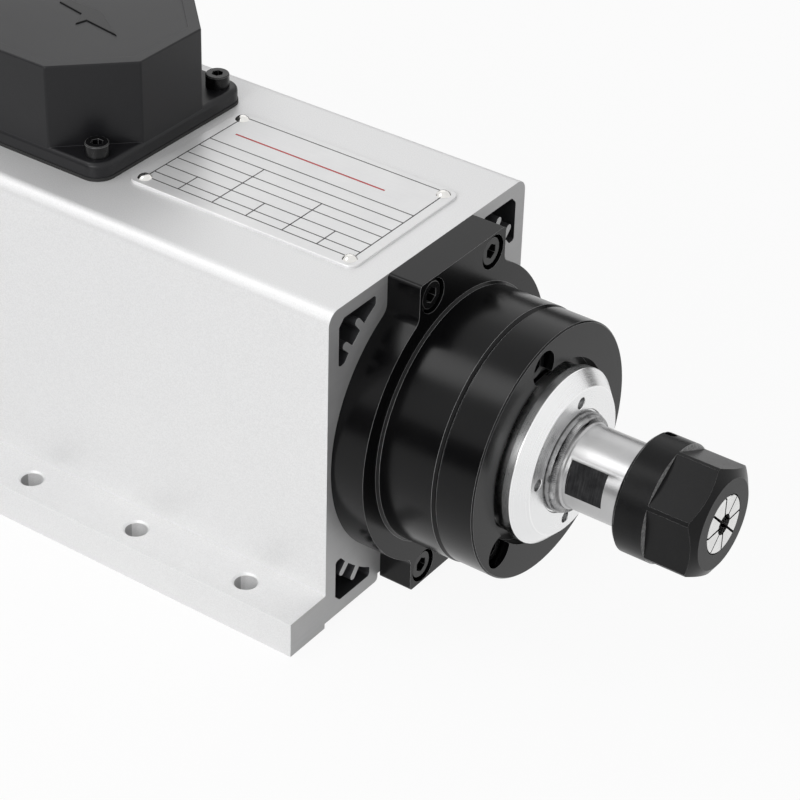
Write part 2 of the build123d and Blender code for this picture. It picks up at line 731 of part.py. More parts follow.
def cooling_fan():
    """The radial fan on the shaft's rear end: back disc, hub and backward-curved blades."""
    disc = tube(fan_front - fan_disc, fan_front, fan_seat_radius + seat_gap, fan_radius)
    hub = tube(fan_back, fan_front, fan_seat_radius + seat_gap, fan_hub_radius)
    tip = fan_radius - fan_blade_thickness / 2
    curve = ThreePointArc((fan_hub_radius - 1, 0), (0.6 * fan_radius, fan_blade_bow),
                          (tip, fan_blade_sweep))
    start = fan_front - fan_disc - fan_blade_length
    blade = Pos(start, 0, 0) * extrude(
        Plane.YZ * trace(curve, fan_blade_thickness), fan_blade_length + 0.5, dir=(1, 0, 0))
    keep = tube(start, fan_front, fan_hub_radius - 2, fan_radius)
    blades = [(up * Rot(a, 0, 0) * blade) & keep for a in spread(0, fan_blades)]
    return disc + hub + blades


def fan_nut():
    """The hexagonal nut that holds the fan on the shaft."""
    nut = Pos(fan_back - fan_nut_length, 0, 0) * hex_rod(fan_nut_across_flats, fan_nut_length)
    return up * nut - tube(fan_back - fan_nut_length, fan_back, 0, fan_nut_thread + seat_gap)


def fan_cowl():
    """The square fan cowl: an open shell with a slotted grille and a post for each of its screws."""
    outer = Plane.YZ * RectangleRounded(body_width, cowl_height, cowl_corner)
    inner = Plane.YZ * RectangleRounded(body_width - 2 * cowl_wall, cowl_height - 2 * cowl_wall,
                                        cowl_corner - cowl_wall)
    shell = Pos(cowl_back, 0, 0) * extrude(outer, cowl_length, dir=(1, 0, 0))
    shell = chamfer(shell.edges().group_by(Axis.X)[0], 1.2)
    shell -= Pos(cowl_back + cowl_wall, 0, 0) * extrude(inner, cowl_length, dir=(1, 0, 0))
    shell = up * shell
    post = Pos(cowl_back, 0, 0) * rod(cowl_post_radius, cowl_length - rear_cover_thickness)
    shell += round_axis(post, cowl_screw_circle, spread(45, 4))
    hole = Pos(cowl_back, 0, 0) * rod(m4_thread + through_gap, cowl_length)
    shell -= round_axis(hole, cowl_screw_circle, spread(45, 4))
    slots = [tube(cowl_back, cowl_back + cowl_wall, r, r + grille_slot)
             for r in [grille_inner + grille_pitch * i for i in range(grille_rings)]]
    rib = Pos(cowl_back, 0, 0) * Box(cowl_wall, grille_rib, 2 * fan_radius + grille_pitch,
                                     align=(Align.MIN, Align.CENTER, Align.CENTER))
    ribs = [up * Rot(a, 0, 0) * rib for a in spread(0, grille_ribs)[:grille_ribs // 2]]
    slots = [s - ribs for s in slots]
    return shell - slots


# ---- Collet and nut -----------------------------------------------------------------------------------
def collet():
    """The spring collet: lip, groove, front and rear tapers, bore, and slots from both ends."""
    face = front + collet_face
    groove_front = face - collet_lip
    groove_back = groove_front - collet_groove
    back = face - collet_length
    rear_radius = collet_shoulder_radius - (socket_mouth - back) * tan(radians(collet_taper))
    body = turned(
        (back, collet_bore), (back, rear_radius), (socket_mouth, collet_shoulder_radius),
        (groove_back, collet_lip_radius), (groove_back, collet_groove_radius),
        (groove_front, collet_groove_radius), (groove_front, collet_lip_radius),
        (face - 0.3, collet_lip_radius), (face, collet_lip_radius - 0.3), (face, collet_bore))
    for start, width, first in ((back + collet_web, collet_front_slot, 0),
                                (face - collet_web - collet_length, collet_rear_slot,
                                 180 / collet_slots)):
        cut = Pos(start, 0, 0) * Box(collet_length, width, 2 * collet_shoulder_radius,
                                     align=(Align.MIN, Align.CENTER, Align.MIN))
        body -= [up * Rot(a, 0, 0) * cut for a in spread(first, collet_slots)]
    return body


def collet_nut():
    """The collet nut: round collar with pin holes, hexagon, front cone, thread bore and collet seat."""
    back = front + nut_rear
    face = front + nut_face
    groove_back = front + collet_face - collet_lip - collet_groove
    seat_back = socket_mouth - collet_play
    bore = thread_radius + running_gap
    seat_radius = collet_lip_radius + collet_play + running_gap
    ring_radius = collet_groove_radius + collet_play
    ring_back = groove_back + collet_play
    ring_front = groove_back + collet_groove - collet_play
    seat_front = groove_back - collet_play
    outline = [
        (back, bore), (back, nut_radius - nut_rear_chamfer), (back + nut_rear_chamfer, nut_radius),
        (face - nut_cone_length, nut_radius), (face, nut_face_radius), (face, seat_radius),
        (ring_front, seat_radius), (ring_front, ring_radius), (ring_back, ring_radius),
        (ring_back, seat_radius), (seat_front, seat_radius),
        (seat_back, collet_shoulder_radius + collet_play), (seat_back, bore)]
    blank = turned(*outline)
    collar = Pos(back, 0, 0) * rod(nut_radius + 1, nut_hex_start - nut_rear)
    hexagon = Pos(back, 0, 0) * Rot(nut_corner_angle - 90, 0, 0) * hex_rod(nut_across_flats, face - back)
    nut = blank & (up * (collar + hexagon))
    hole = Pos(back + nut_pin_hole_start, 0, nut_radius - nut_pin_hole_depth) * Cylinder(
        nut_pin_hole_radius, nut_pin_hole_depth + 1, align=base_align)
    turn = nut_pin_hole_angle - 90
    return nut - [up * Rot(turn + half, 0, 0) * hole for half in (0, 180)]


# ---- Terminal box -------------------------------------------------------------------------------------
def box_screw_places():
    """Where the terminal box's four screws stand."""
    row = box_screw_row
    return [(box_x + a * row, box_y + b * row) for a in (-1, 1) for b in (-1, 1)]


def octagon(side, cut):
    """A square with its four corners cut off at 45 degrees."""
    return chamfer(Rectangle(side, side).vertices(), cut)


def on_top(shape, height=0.0):
    """A shape moved onto the housing's top, at the terminal box's place."""
    return Pos(box_x, box_y, body_top + height) * shape


def terminal_box():
    """The octagonal terminal box moulded in one with its square foot, open below."""
    pad_side = box_side + 2 * box_pad_lip
    foot = extrude(RectangleRounded(pad_side, pad_side, box_pad_corner), box_pad_height - gasket_thickness)
    foot = fillet(foot.edges().group_by(Axis.Z)[-1], box_pad_round)
    outline = octagon(box_side, box_chamfer)
    walls = extrude(fillet(outline.vertices(), box_edge_round), box_height - gasket_thickness)
    walls = fillet(walls.edges().group_by(Axis.Z)[-1], box_roof_round)
    panel_side = box_side - 2 * box_panel_inset
    panel_cut = box_chamfer - box_panel_inset * (2 - 2 ** 0.5)
    panel = Pos(0, 0, box_height - gasket_thickness - box_panel_depth) * extrude(
        octagon(panel_side, panel_cut), box_panel_depth)
    room_side = box_side - 2 * box_wall
    room_cut = box_chamfer - box_wall * (2 - 2 ** 0.5)
    room = extrude(octagon(room_side, room_cut), box_height - gasket_thickness - box_roof)
    box = foot + walls - panel - room
    hole = Cylinder(m4_thread + through_gap, box_pad_height, align=base_align)
    row = box_screw_row
    box -= [Pos(a * row, b * row, 0) * hole for a in (-1, 1) for b in (-1, 1)]
    box = on_top(box, gasket_thickness)
    back = box_x - box_side / 2
    spot_face = rod(gland_hex / 3 ** 0.5 + through_gap, box_pad_lip + 1)
    box -= Pos(back - box_pad_lip - 1, box_y, gland_z) * spot_face
    return box - Pos(back - 1, box_y, gland_z) * rod(gland_thread + through_gap, box_wall + 2)


def terminal_box_gasket():
    """The flat rubber gasket under the terminal box."""
    side = box_side + 2 * box_pad_lip + 2 * gasket_lip
    gasket = extrude(RectangleRounded(side, side, box_pad_corner + gasket_lip), gasket_thickness)
    room_side = box_side - 2 * box_wall
    gasket -= extrude(octagon(room_side, box_chamfer - box_wall * (2 - 2 ** 0.5)), gasket_thickness)
    hole = Cylinder(m4_thread + through_gap, gasket_thickness, align=base_align)
    row = box_screw_row
    gasket -= [Pos(a * row, b * row, 0) * hole for a in (-1, 1) for b in (-1, 1)]
    return on_top(gasket)


def terminal_block():
    """The insulating block inside the box, with ribs between its three terminals."""
    block = Pos(block_x, box_y, body_top) * Box(block_length, block_width, block_height, align=base_align)
    rib = Box(block_length, block_rib_width, block_rib_height, align=base_align)
    for y in (-1.5, -0.5, 0.5, 1.5):
        block += Pos(block_x, box_y + y * stud_pitch, body_top + block_height) * rib
    hole = Cylinder(stud_radius + seat_gap, block_height, align=base_align)
    return block - [Pos(block_x, y, body_top + block_floor) * hole for y in stud_rows()]


def stud_rows():
    """Where the three terminals are along Y."""
    return [box_y + stud_pitch * i for i in (-1, 0, 1)]


def terminal_studs():
    """The three brass terminal studs."""
    stud = Cylinder(stud_radius, stud_length + block_height - block_floor, align=base_align)
    return Compound(children=[Pos(block_x, y, body_top + block_floor) * stud for y in stud_rows()])


def terminal_nuts():
    """The brass nut on each terminal stud, over the lead's eyelet."""
    nut = extrude(RegularPolygon(stud_nut_radius, 6), stud_nut_height)
    nut -= Cylinder(stud_radius + seat_gap, 3 * stud_nut_height)
    level = body_top + block_height + eyelet_thickness
    return Compound(children=[Pos(block_x, y, level) * nut for y in stud_rows()])


def winding_leads():
    """The three insulated leads from the windings up to the terminals, each with its eyelet."""
    leads = []
    level = body_top + block_height + eyelet_thickness / 2
    for number, row in enumerate(stud_rows()):
        y = lead_pitch * (number - 1)
        start = (coil_back, y, axis_height + (coil_inner + coil_outer) / 2)
        lug_end = block_x - stud_nut_radius - lead_lug + lead_radius
        route = FilletPolyline(
            start, (lead_hole_x, y, start[2]), (lead_hole_x, y, level),
            (lug_end, row, level), radius=lead_bend)
        section = Plane(origin=start, z_dir=(-1, 0, 0)) * Circle(lead_radius)
        wire = sweep(section, path=route)
        end = Pos(block_x, row, body_top + block_height)
        eyelet = end * (Cylinder(stud_nut_radius, eyelet_thickness, align=base_align)
                        - Cylinder(stud_radius + seat_gap, 3 * eyelet_thickness))
        neck = end * Pos(-stud_radius - seat_gap, 0, 0) * Box(
            stud_nut_radius - stud_radius + lead_lug, 2 * lead_radius, eyelet_thickness,
            align=(Align.MAX, Align.CENTER, Align.MIN))
        leads.append(wire + eyelet + (neck - end * Cylinder(stud_radius + seat_gap, lead_lug)))
    return Compound(children=leads)


def gland_axis(x):
    """A place on the cable gland's axis, with +X of the shape pointing out of the box's rear wall."""
    return Pos(x, box_y, gland_z) * Rot(0, 0, 180)


def gland_body():
    """The cable gland's body: thread through the box's wall, hexagon, and nose for its dome nut."""
    wall = box_x - box_side / 2
    inside = box_wall + locknut_length + 1
    nose = gland_nut_length - gland_nut_end
    body = gland_axis(wall + inside) * rod(gland_thread, inside + gland_hex_length + nose)
    body += gland_axis(wall) * hex_rod(gland_hex, gland_hex_length)
    bore = gland_axis(wall + inside) * rod(gland_bore, 3 * gland_nut_length)
    seat_start = wall - gland_hex_length - gland_seal_inset
    return body - bore - gland_axis(seat_start) * rod(gland_seal_radius + seat_gap, gland_nut_length)


def gland_seal():
    """The rubber sleeve that grips the cable inside the gland."""
    start = box_x - box_side / 2 - gland_hex_length - gland_seal_inset
    length = gland_nut_length - gland_nut_end - gland_seal_inset
    lips = Pos(-gland_seal_lip, 0, 0) * rod(gland_bore - seat_gap, length + 2 * gland_seal_lip)
    hole = Pos(-gland_seal_lip, 0, 0) * rod(gland_cable_radius, length + 2 * gland_seal_lip)
    return gland_axis(start) * (rod(gland_seal_radius, length) + lips - hole)


def gland_nut():
    """The gland's ribbed dome nut."""
    start = box_x - box_side / 2 - gland_hex_length
    nut = rod(gland_nut_radius, gland_nut_length)
    nut = fillet(nut.edges().group_by(Axis.X)[-1], gland_nut_round)
    groove = Pos(0, 0, gland_nut_radius + gland_nut_groove / 2) * rod(
        gland_nut_groove, gland_nut_length - gland_nut_round - gland_nut_groove)
    nut -= [Rot(angle, 0, 0) * groove for angle in spread(0, gland_nut_grooves)]
    nut -= rod(gland_thread + running_gap, gland_nut_length - gland_nut_end)
    return gland_axis(start) * (nut - rod(gland_bore, gland_nut_length))


def gland_locknut():
    """The gland's locknut inside the box."""
    nut = hex_rod(gland_hex, locknut_length) - rod(gland_thread + running_gap, locknut_length)
    return gland_axis(box_x - box_side / 2 + box_wall + locknut_length) * nut


# ---- Nameplate ----------------------------------------------------------------------------------------
def rivet_places():
    """Where the nameplate's four rivets are."""
    half_x = plate_length / 2 - rivet_inset
    half_y = plate_width / 2 - rivet_inset
    return [(plate_x + a * half_x, plate_y + b * half_y) for a in (-1, 1) for b in (-1, 1)]


def nameplate():
    """The bare aluminium nameplate with rounded corners."""
    plate = Pos(plate_x, plate_y, body_top) * extrude(
        RectangleRounded(plate_length, plate_width, plate_corner), plate_thickness)
    hole = Cylinder(rivet_radius + seat_gap, 3 * plate_thickness)
    return plate - [Pos(x, y, body_top) * hole for x, y in rivet_places()]


def nameplate_rivets():
    """The four domed rivets that hold the nameplate."""
    outline = Polyline((0, rivet_head_height), (0, -rivet_length), (rivet_radius, -rivet_length),
                       (rivet_radius, 0), (rivet_head_radius, 0))
    half = rivet_head_radius / 2
    ball = (rivet_head_radius ** 2 + rivet_head_height ** 2) / (2 * rivet_head_height)
    dome = ThreePointArc((rivet_head_radius, 0),
                         (half, (ball ** 2 - half ** 2) ** 0.5 - ball + rivet_head_height),
                         (0, rivet_head_height))
    rivet = revolve(Plane.XZ * make_face([outline, dome]), Axis.Z)
    level = body_top + plate_thickness
    return Compound(children=[Pos(x, y, level) * rivet for x, y in rivet_places()])


# ---- Screws -------------------------------------------------------------------------------------------
def front_flange_screws():
    """Four cap screws through the front flange's ears."""
    sunk = flange_face - ear_counterbore_depth
    screw = socket_screw(m5_screw, sunk - front + ear_screw_depth)
    return Compound(children=[Pos(sunk, 0, 0) * s for s in at_corners(screw, ear_screw_y, ear_screw_z)])


def front_cap_screws():
    """Three cap screws in the front cap's counterbores."""
    sunk = cap_face - cap_counterbore_depth
    screw = socket_screw(m5_screw, sunk - nose_face + cap_screw_depth - tap_runout)
    places = round_axis(screw, cap_screw_circle, spread(cap_screw_start, cap_screws))
    return Compound(children=[Pos(sunk, 0, 0) * s for s in places])


def rear_cover_screws():
    """Four cap screws through the rear cover, under the cowl."""
    screw = Rot(0, 0, 180) * socket_screw(m5_screw, rear_cover_thickness + ear_screw_depth)
    places = at_corners(screw, rear_screw_y, rear_screw_z)
    return Compound(children=[Pos(cover_back, 0, 0) * s for s in places])


def fan_cowl_screws():
    """Four long cap screws through the cowl's posts into the housing."""
    screw = Rot(0, 0, 180) * socket_screw(m4_screw, cowl_length + cowl_screw_depth)
    places = round_axis(screw, cowl_screw_circle, spread(45, 4))
    return Compound(children=[Pos(cowl_back, 0, 0) * s for s in places])


def terminal_box_screws():
    """Four cap screws in the terminal box's corners."""
    screw = Rot(0, -90, 0) * socket_screw(m4_screw, box_pad_height + box_screw_depth)
    level = body_top + box_pad_height
    return Compound(children=[Pos(x, y, level) * screw for x, y in box_screw_places()])


# ---- The sub-parts, by name ---------------------------------------------------------------------------
sub_parts = {
    "motor_housing": motor_housing,
    "front_flange": front_flange,
    "front_flange_screws": front_flange_screws,
    "front_cap": front_cap,
    "front_cap_screws": front_cap_screws,
    "slinger_disc": slinger_disc,
    "slinger_stop_ring": slinger_stop_ring,
    "front_bearing_outer_rings": lambda: races(front_bearing, front_backs, True),
    "front_bearing_inner_rings": lambda: races(front_bearing, front_backs, False),
    "front_bearing_balls": lambda: balls(front_bearing, front_backs, front_balls),
    "front_bearing_cages": lambda: ball_cages(front_bearing, front_backs, front_balls),
    "front_bearing_seals": lambda: seals(front_bearing, (bearings_back, bearings_front - seal_thickness)),
    "rear_bearing_outer_ring": lambda: race(rear_bearing, rear_bearing_back, True),
    "rear_bearing_inner_ring": lambda: race(rear_bearing, rear_bearing_back, False),
    "rear_bearing_balls": lambda: balls(rear_bearing, [rear_bearing_back], rear_balls),
    "rear_bearing_cage": lambda: ball_cages(rear_bearing, [rear_bearing_back], rear_balls),
    "spindle_shaft": spindle_shaft,
    "rotor_core": rotor_core,
    "rotor_cage": rotor_cage,
    "stator_core": stator_core,
    "stator_windings": stator_windings,
    "rear_bearing_cover": rear_bearing_cover,
    "rear_cover_screws": rear_cover_screws,
    "preload_spring": preload_spring,
    "cooling_fan": cooling_fan,
    "fan_nut": fan_nut,
    "fan_cowl": fan_cowl,
    "fan_cowl_screws": fan_cowl_screws,
    "collet": collet,
    "collet_nut": collet_nut,
    "terminal_box": terminal_box,
    "terminal_box_gasket": terminal_box_gasket,
    "terminal_box_screws": terminal_box_screws,
    "terminal_block": terminal_block,
    "terminal_studs": terminal_studs,
    "terminal_nuts": terminal_nuts,
    "winding_leads": winding_leads,
    "gland_body": gland_body,
    "gland_seal": gland_seal,
    "gland_nut": gland_nut,
    "gland_locknut": gland_locknut,
    "nameplate": nameplate,
    "nameplate_rivets": nameplate_rivets,
}

os.makedirs("parts", exist_ok=True)
for name, make in sub_parts.items():
    export_step(make(), f"parts/{name}.step")
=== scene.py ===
# %% [markdown]
# # A motor spindle, piece by piece
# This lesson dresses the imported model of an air-cooled milling spindle: a finned aluminium body on
# a wide foot, a black front end, a bright labyrinth disc, and a collet nut that grips the tool.
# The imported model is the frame. It fixes every size and place, and the cells below only add looks.
# %% Load the frame
import math
import bmesh
import bpy
from mathutils import Matrix, Vector


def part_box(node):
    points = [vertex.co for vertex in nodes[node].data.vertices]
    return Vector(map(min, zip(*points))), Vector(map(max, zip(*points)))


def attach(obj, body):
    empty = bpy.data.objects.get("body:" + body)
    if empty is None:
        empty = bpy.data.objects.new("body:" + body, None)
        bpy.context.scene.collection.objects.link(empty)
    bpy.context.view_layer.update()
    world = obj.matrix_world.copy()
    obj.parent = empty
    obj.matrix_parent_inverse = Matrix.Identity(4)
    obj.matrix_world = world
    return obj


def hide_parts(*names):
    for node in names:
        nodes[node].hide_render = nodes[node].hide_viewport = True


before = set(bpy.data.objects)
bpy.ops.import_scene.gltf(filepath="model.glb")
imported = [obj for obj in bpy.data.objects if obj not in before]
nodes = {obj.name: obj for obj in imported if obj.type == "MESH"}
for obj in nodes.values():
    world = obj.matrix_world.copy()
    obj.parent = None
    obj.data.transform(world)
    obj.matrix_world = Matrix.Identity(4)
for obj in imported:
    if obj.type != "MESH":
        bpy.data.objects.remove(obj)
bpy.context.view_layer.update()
mm = 0.001
axis_height = 52 * mm
print("pieces in the frame:", len(nodes))

# %% [markdown]
# ## Small helpers for shader trees
# A finish is a tree of shader nodes. `add` makes one node, fills its sockets and returns it, so a
# whole finish reads from top to bottom. A socket takes a number, a colour or another node's output.
# %% Helpers for shader trees
def add(tree, kind, sockets=None, **settings):
    """Adds one node with its settings, and fills or links its sockets."""
    node = tree.nodes.new(kind)
    for name, value in settings.items():
        setattr(node, name, value)
    for name, value in (sockets or {}).items():
        socket = node.inputs[name]
        if isinstance(value, bpy.types.NodeSocket):
            tree.links.new(value, socket)
        elif socket.type == "RGBA":
            socket.default_value = (*value, 1)
        else:
            socket.default_value = value
    return node


def maths(tree, operation, first, second=0.0):
    """One sum on two values."""
    return add(tree, "ShaderNodeMath", {0: first, 1: second}, operation=operation).outputs[0]


def between(tree, value, low, high):
    """A value from 0 to 1 spread from low to high."""
    node = add(tree, "ShaderNodeMapRange", {"Value": value, "To Min": low, "To Max": high})
    return node.outputs["Result"]


mix_factor, mix_first, mix_second, mix_result = 0, 6, 7, 2


def blend(tree, factor, first, second, way="MIX"):
    """A colour mixed from two colours."""
    colours = {mix_factor: factor, mix_first: first, mix_second: second}
    node = add(tree, "ShaderNodeMix", colours, data_type="RGBA", blend_type=way)
    return node.outputs[mix_result]


def new_group(name, sockets):
    """An empty node group that takes a place and some numbers, and gives one value."""
    tree = bpy.data.node_groups.new(name, "ShaderNodeTree")
    tree.interface.new_socket("Vector", in_out="INPUT", socket_type="NodeSocketVector")
    for socket, usual in sockets.items():
        made = tree.interface.new_socket(socket, in_out="INPUT", socket_type="NodeSocketFloat")
        made.default_value = usual
    tree.interface.new_socket("Value", in_out="OUTPUT", socket_type="NodeSocketFloat")
    given = tree.nodes.new("NodeGroupInput").outputs
    return tree, given, tree.nodes.new("NodeGroupOutput").inputs["Value"]


print("helpers ready")

# %% [markdown]
# ## Grain and mottling
# Several finishes share an effect, so each effect is a node group that turns a place on the piece
# into a value from 0 to 1. Blasted metal and moulded plastic share a fine grain: a noise whose
# contrast is raised about its middle. A soft mottling keeps large faces from looking dead, because
# no real coating is perfectly even. An image could carry both, but noise needs no unwrapping and
# stays sharp from any distance.
# %% Grain and mottling
noise_middle = 0.5
grain, given, result = new_group("fine grain", {"Scale": 2500.0, "Contrast": 2.0})
noise = add(grain, "ShaderNodeTexNoise", {
    "Vector": given["Vector"], "Scale": given["Scale"], "Detail": 3})
offset = maths(grain, "SUBTRACT", noise.outputs[0], noise_middle)
sharp = maths(grain, "MULTIPLY", offset, given["Contrast"])
level = add(grain, "ShaderNodeMath", {0: sharp, 1: noise_middle}, operation="ADD", use_clamp=True)
grain.links.new(level.outputs[0], result)

mottle_low, mottle_high = -0.6, 1.6
mottle, given, result = new_group("soft mottling", {"Scale": 30.0})
noise = add(mottle, "ShaderNodeTexNoise", {
    "Vector": given["Vector"], "Scale": given["Scale"], "Detail": 5, "Roughness": 0.6})
mottle.links.new(between(mottle, noise.outputs[0], mottle_low, mottle_high), result)
print("effects:", [group.name for group in bpy.data.node_groups])

# %% [markdown]
# ## Turned rings and straight lines
# A lathe tool leaves fine rings about the spindle axis, so every turned piece shares them. The
# rings follow the distance from the axis on a flat face and the distance along it on a cylinder:
# adding the two covers both, and a cone as well. Rolled, milled and brushed faces share straight
# lines, which are a noise squeezed across the lines and stretched along them.
# %% Turned rings and straight lines
rings_along = 1.7
rings, given, result = new_group("turned rings", {"Rings per metre": 4000.0})
place = add(rings, "ShaderNodeSeparateXYZ", {"Vector": given["Vector"]}).outputs
rise = maths(rings, "SUBTRACT", place["Z"], axis_height)
squares = [maths(rings, "POWER", side, 2) for side in (place["Y"], rise)]
radius = maths(rings, "SQRT", maths(rings, "ADD", *squares))
along = maths(rings, "ADD", radius, maths(rings, "MULTIPLY", place["X"], rings_along))
turns = maths(rings, "MULTIPLY", along, given["Rings per metre"])
noise = add(rings, "ShaderNodeTexNoise", {"W": turns, "Scale": 1, "Detail": 4},
            noise_dimensions="1D")
rings.links.new(noise.outputs[0], result)

lines, given, result = new_group("straight lines", {
    "Along": 40.0, "Across": 6000.0, "Upright": 40.0})
stretch = add(lines, "ShaderNodeCombineXYZ", {
    "X": given["Across"], "Y": given["Along"], "Z": given["Upright"]})
stretched = add(lines, "ShaderNodeVectorMath", {0: given["Vector"], 1: stretch.outputs[0]},
                operation="MULTIPLY")
noise = add(lines, "ShaderNodeTexNoise", {
    "Vector": stretched.outputs[0], "Scale": 1, "Detail": 3})
lines.links.new(noise.outputs[0], result)
print("effects:", [group.name for group in bpy.data.node_groups])

# %% [markdown]
# ## Finishes
# `finish` builds one material from a few plain facts: two tones that the mottling moves between,
# how metallic it is, the range of its roughness, and which fine pattern its surface has. The
# pattern drives the bump as well as the roughness, as it does on metal. Rounded edges carry the
# value `edge`, and there a paler tone is painted on: a painted highlight with a little wear.
# One builder for all finishes keeps them alike in kind: only their numbers differ, as with real
# materials.
# %% The finish builder
finishes = {}
cloud_share, fine_share = 0.6, 0.4
least_edge_highlight_and_wear = 0.4


def effect(tree, group, place, sockets):
    """The value of a shared effect at a place."""
    node = add(tree, "ShaderNodeGroup", node_tree=group)
    tree.links.new(place, node.inputs["Vector"])
    for name, value in sockets.items():
        node.inputs[name].default_value = value
    return node.outputs["Value"]


def finish(name, dark, light, rough, pattern, sockets, metallic=0.0, ior=1.5, depth=0.02,
           strength=0.2, mottling=30.0, edge_highlight_and_wear_tone=None, show=0.0, gloss=0.5):
    """A procedural finish. Colours are linear, and depth is the pattern's height in mm."""
    material = bpy.data.materials.new(name)
    material.use_nodes = True
    tree = material.node_tree
    shader = tree.nodes["Principled BSDF"]
    place = tree.nodes.new("ShaderNodeTexCoord").outputs["Object"]
    cloud = effect(tree, mottle, place, {"Scale": mottling})
    fine = effect(tree, pattern, place, sockets)
    tone = blend(tree, cloud, dark, light)
    if show:
        tone = blend(tree, 1.0, tone, between(tree, fine, 1 - show, 1 + show), "MULTIPLY")
    # Rounded edges are painted paler here: a painted highlight along each edge, with a little wear.
    if edge_highlight_and_wear_tone:
        edge = add(tree, "ShaderNodeAttribute", attribute_name="edge").outputs["Fac"]
        edge_highlight_and_wear = maths(tree, "MULTIPLY", edge, between(tree, cloud, least_edge_highlight_and_wear, 1.0))
        tone = blend(tree, edge_highlight_and_wear, tone, edge_highlight_and_wear_tone)
    tree.links.new(tone, shader.inputs["Base Color"])
    mixed = maths(tree, "ADD", maths(tree, "MULTIPLY", cloud, cloud_share),
                  maths(tree, "MULTIPLY", fine, fine_share))
    tree.links.new(between(tree, mixed, *rough), shader.inputs["Roughness"])
    shader.inputs["Metallic"].default_value = metallic
    shader.inputs["IOR"].default_value = ior
    shader.inputs["Specular IOR Level"].default_value = gloss
    bump = add(tree, "ShaderNodeBump", {
        "Strength": strength, "Distance": depth * mm, "Height": fine})
    tree.links.new(bump.outputs["Normal"], shader.inputs["Normal"])
    finishes[name] = material


print("finish builder ready")

# %% [markdown]
# ### The aluminium finishes
# The body is extruded aluminium, bead-blasted and then anodised clear, so it scatters light almost
# like paint and sparkles a little up close. Its milled ends show the cutter's lines, its channels
# are painted nearly black as painted shade, the disc is bare metal straight from the lathe, and the
# plate is brushed. A metallic value below 1 stands for a clear coating, which whitens what bare
# metal would only mirror.
# %% Aluminium finishes
finish("silver_anodised", dark=(0.79, 0.79, 0.795), light=(0.82, 0.82, 0.82), rough=(0.44, 0.56),
       pattern=grain, sockets={"Scale": 3000.0, "Contrast": 3.0}, metallic=0.45, depth=0.04,
       strength=0.25, mottling=10, edge_highlight_and_wear_tone=(0.9, 0.9, 0.9), show=0.05)
finish("cut_aluminium", dark=(0.42, 0.42, 0.425), light=(0.52, 0.52, 0.52), rough=(0.38, 0.54),
       pattern=lines, sockets={"Along": 25.0, "Across": 600.0, "Upright": 1800.0}, metallic=0.35,
       depth=0.02, strength=0.2, edge_highlight_and_wear_tone=(0.9, 0.9, 0.9), show=0.06)
# Painted shade: the insides of the cooling channels are painted nearly black.
finish("channel_shade_aluminium", dark=(0.045, 0.046, 0.05), light=(0.10, 0.10, 0.105),
       rough=(0.45, 0.65), pattern=lines,
       sockets={"Along": 2500.0, "Across": 10.0, "Upright": 2500.0}, metallic=0.6, depth=0.03,
       strength=0.25, show=0.15)
finish("bright_aluminium", dark=(0.80, 0.805, 0.81), light=(0.88, 0.88, 0.88), rough=(0.20, 0.36),
       pattern=rings, sockets={"Rings per metre": 5000.0}, metallic=1.0, depth=0.012,
       strength=0.5, edge_highlight_and_wear_tone=(0.95, 0.95, 0.95), show=0.04)
finish("plate_aluminium", dark=(0.76, 0.76, 0.765), light=(0.84, 0.84, 0.84), rough=(0.34, 0.48),
       pattern=lines, sockets={"Along": 5000.0, "Across": 60.0, "Upright": 60.0}, metallic=0.35,
       depth=0.012, strength=0.25, mottling=60, edge_highlight_and_wear_tone=(0.9, 0.9, 0.9), show=0.04)
print("aluminium finishes:", len(finishes))

# %% [markdown]
# ### The bright steel finishes
# The shaft is hardened steel, ground and then polished. The milled wrench flats keep the cutter's
# marks, so they take deep lines instead of rings, and they are painted near black as a painted
# dark reflection. The collet and the lock ring are turned and ground, and the plate's rivets have
# a bright nickel coat.
# %% Bright steel finishes
finish("rivet_nickel", dark=(0.72, 0.71, 0.69), light=(0.84, 0.83, 0.80), rough=(0.08, 0.22),
       pattern=grain, sockets={"Scale": 1500.0, "Contrast": 2.0}, metallic=1.0, depth=0.02,
       strength=0.25, mottling=400)
finish("shaft_steel", dark=(0.42, 0.42, 0.425), light=(0.52, 0.52, 0.52), rough=(0.24, 0.38),
       pattern=rings, sockets={"Rings per metre": 7000.0}, metallic=1.0, depth=0.008,
       strength=0.5, mottling=60, edge_highlight_and_wear_tone=(0.8, 0.8, 0.8), show=0.08)
# The wrench flats: the shaft's steel painted near black, as a painted dark reflection.
finish("flat_shade_steel", dark=(0.030, 0.030, 0.032), light=(0.055, 0.055, 0.057),
       rough=(0.26, 0.44), pattern=lines,
       sockets={"Along": 150.0, "Across": 2600.0, "Upright": 150.0}, metallic=1.0, depth=0.04,
       strength=0.8, mottling=300, edge_highlight_and_wear_tone=(0.6, 0.6, 0.6), show=0.5)
finish("collet_steel", dark=(0.66, 0.66, 0.65), light=(0.78, 0.78, 0.77), rough=(0.14, 0.30),
       pattern=rings, sockets={"Rings per metre": 6000.0}, metallic=1.0, depth=0.008,
       strength=0.4, mottling=300, edge_highlight_and_wear_tone=(0.9, 0.9, 0.9), show=0.05)
finish("spring_steel", dark=(0.20, 0.20, 0.205), light=(0.42, 0.42, 0.42), rough=(0.20, 0.38),
       pattern=rings, sockets={"Rings per metre": 5000.0}, metallic=1.0, depth=0.01, strength=0.4,
       mottling=400, edge_highlight_and_wear_tone=(0.8, 0.8, 0.8), show=0.12)
print("finishes so far:", len(finishes))

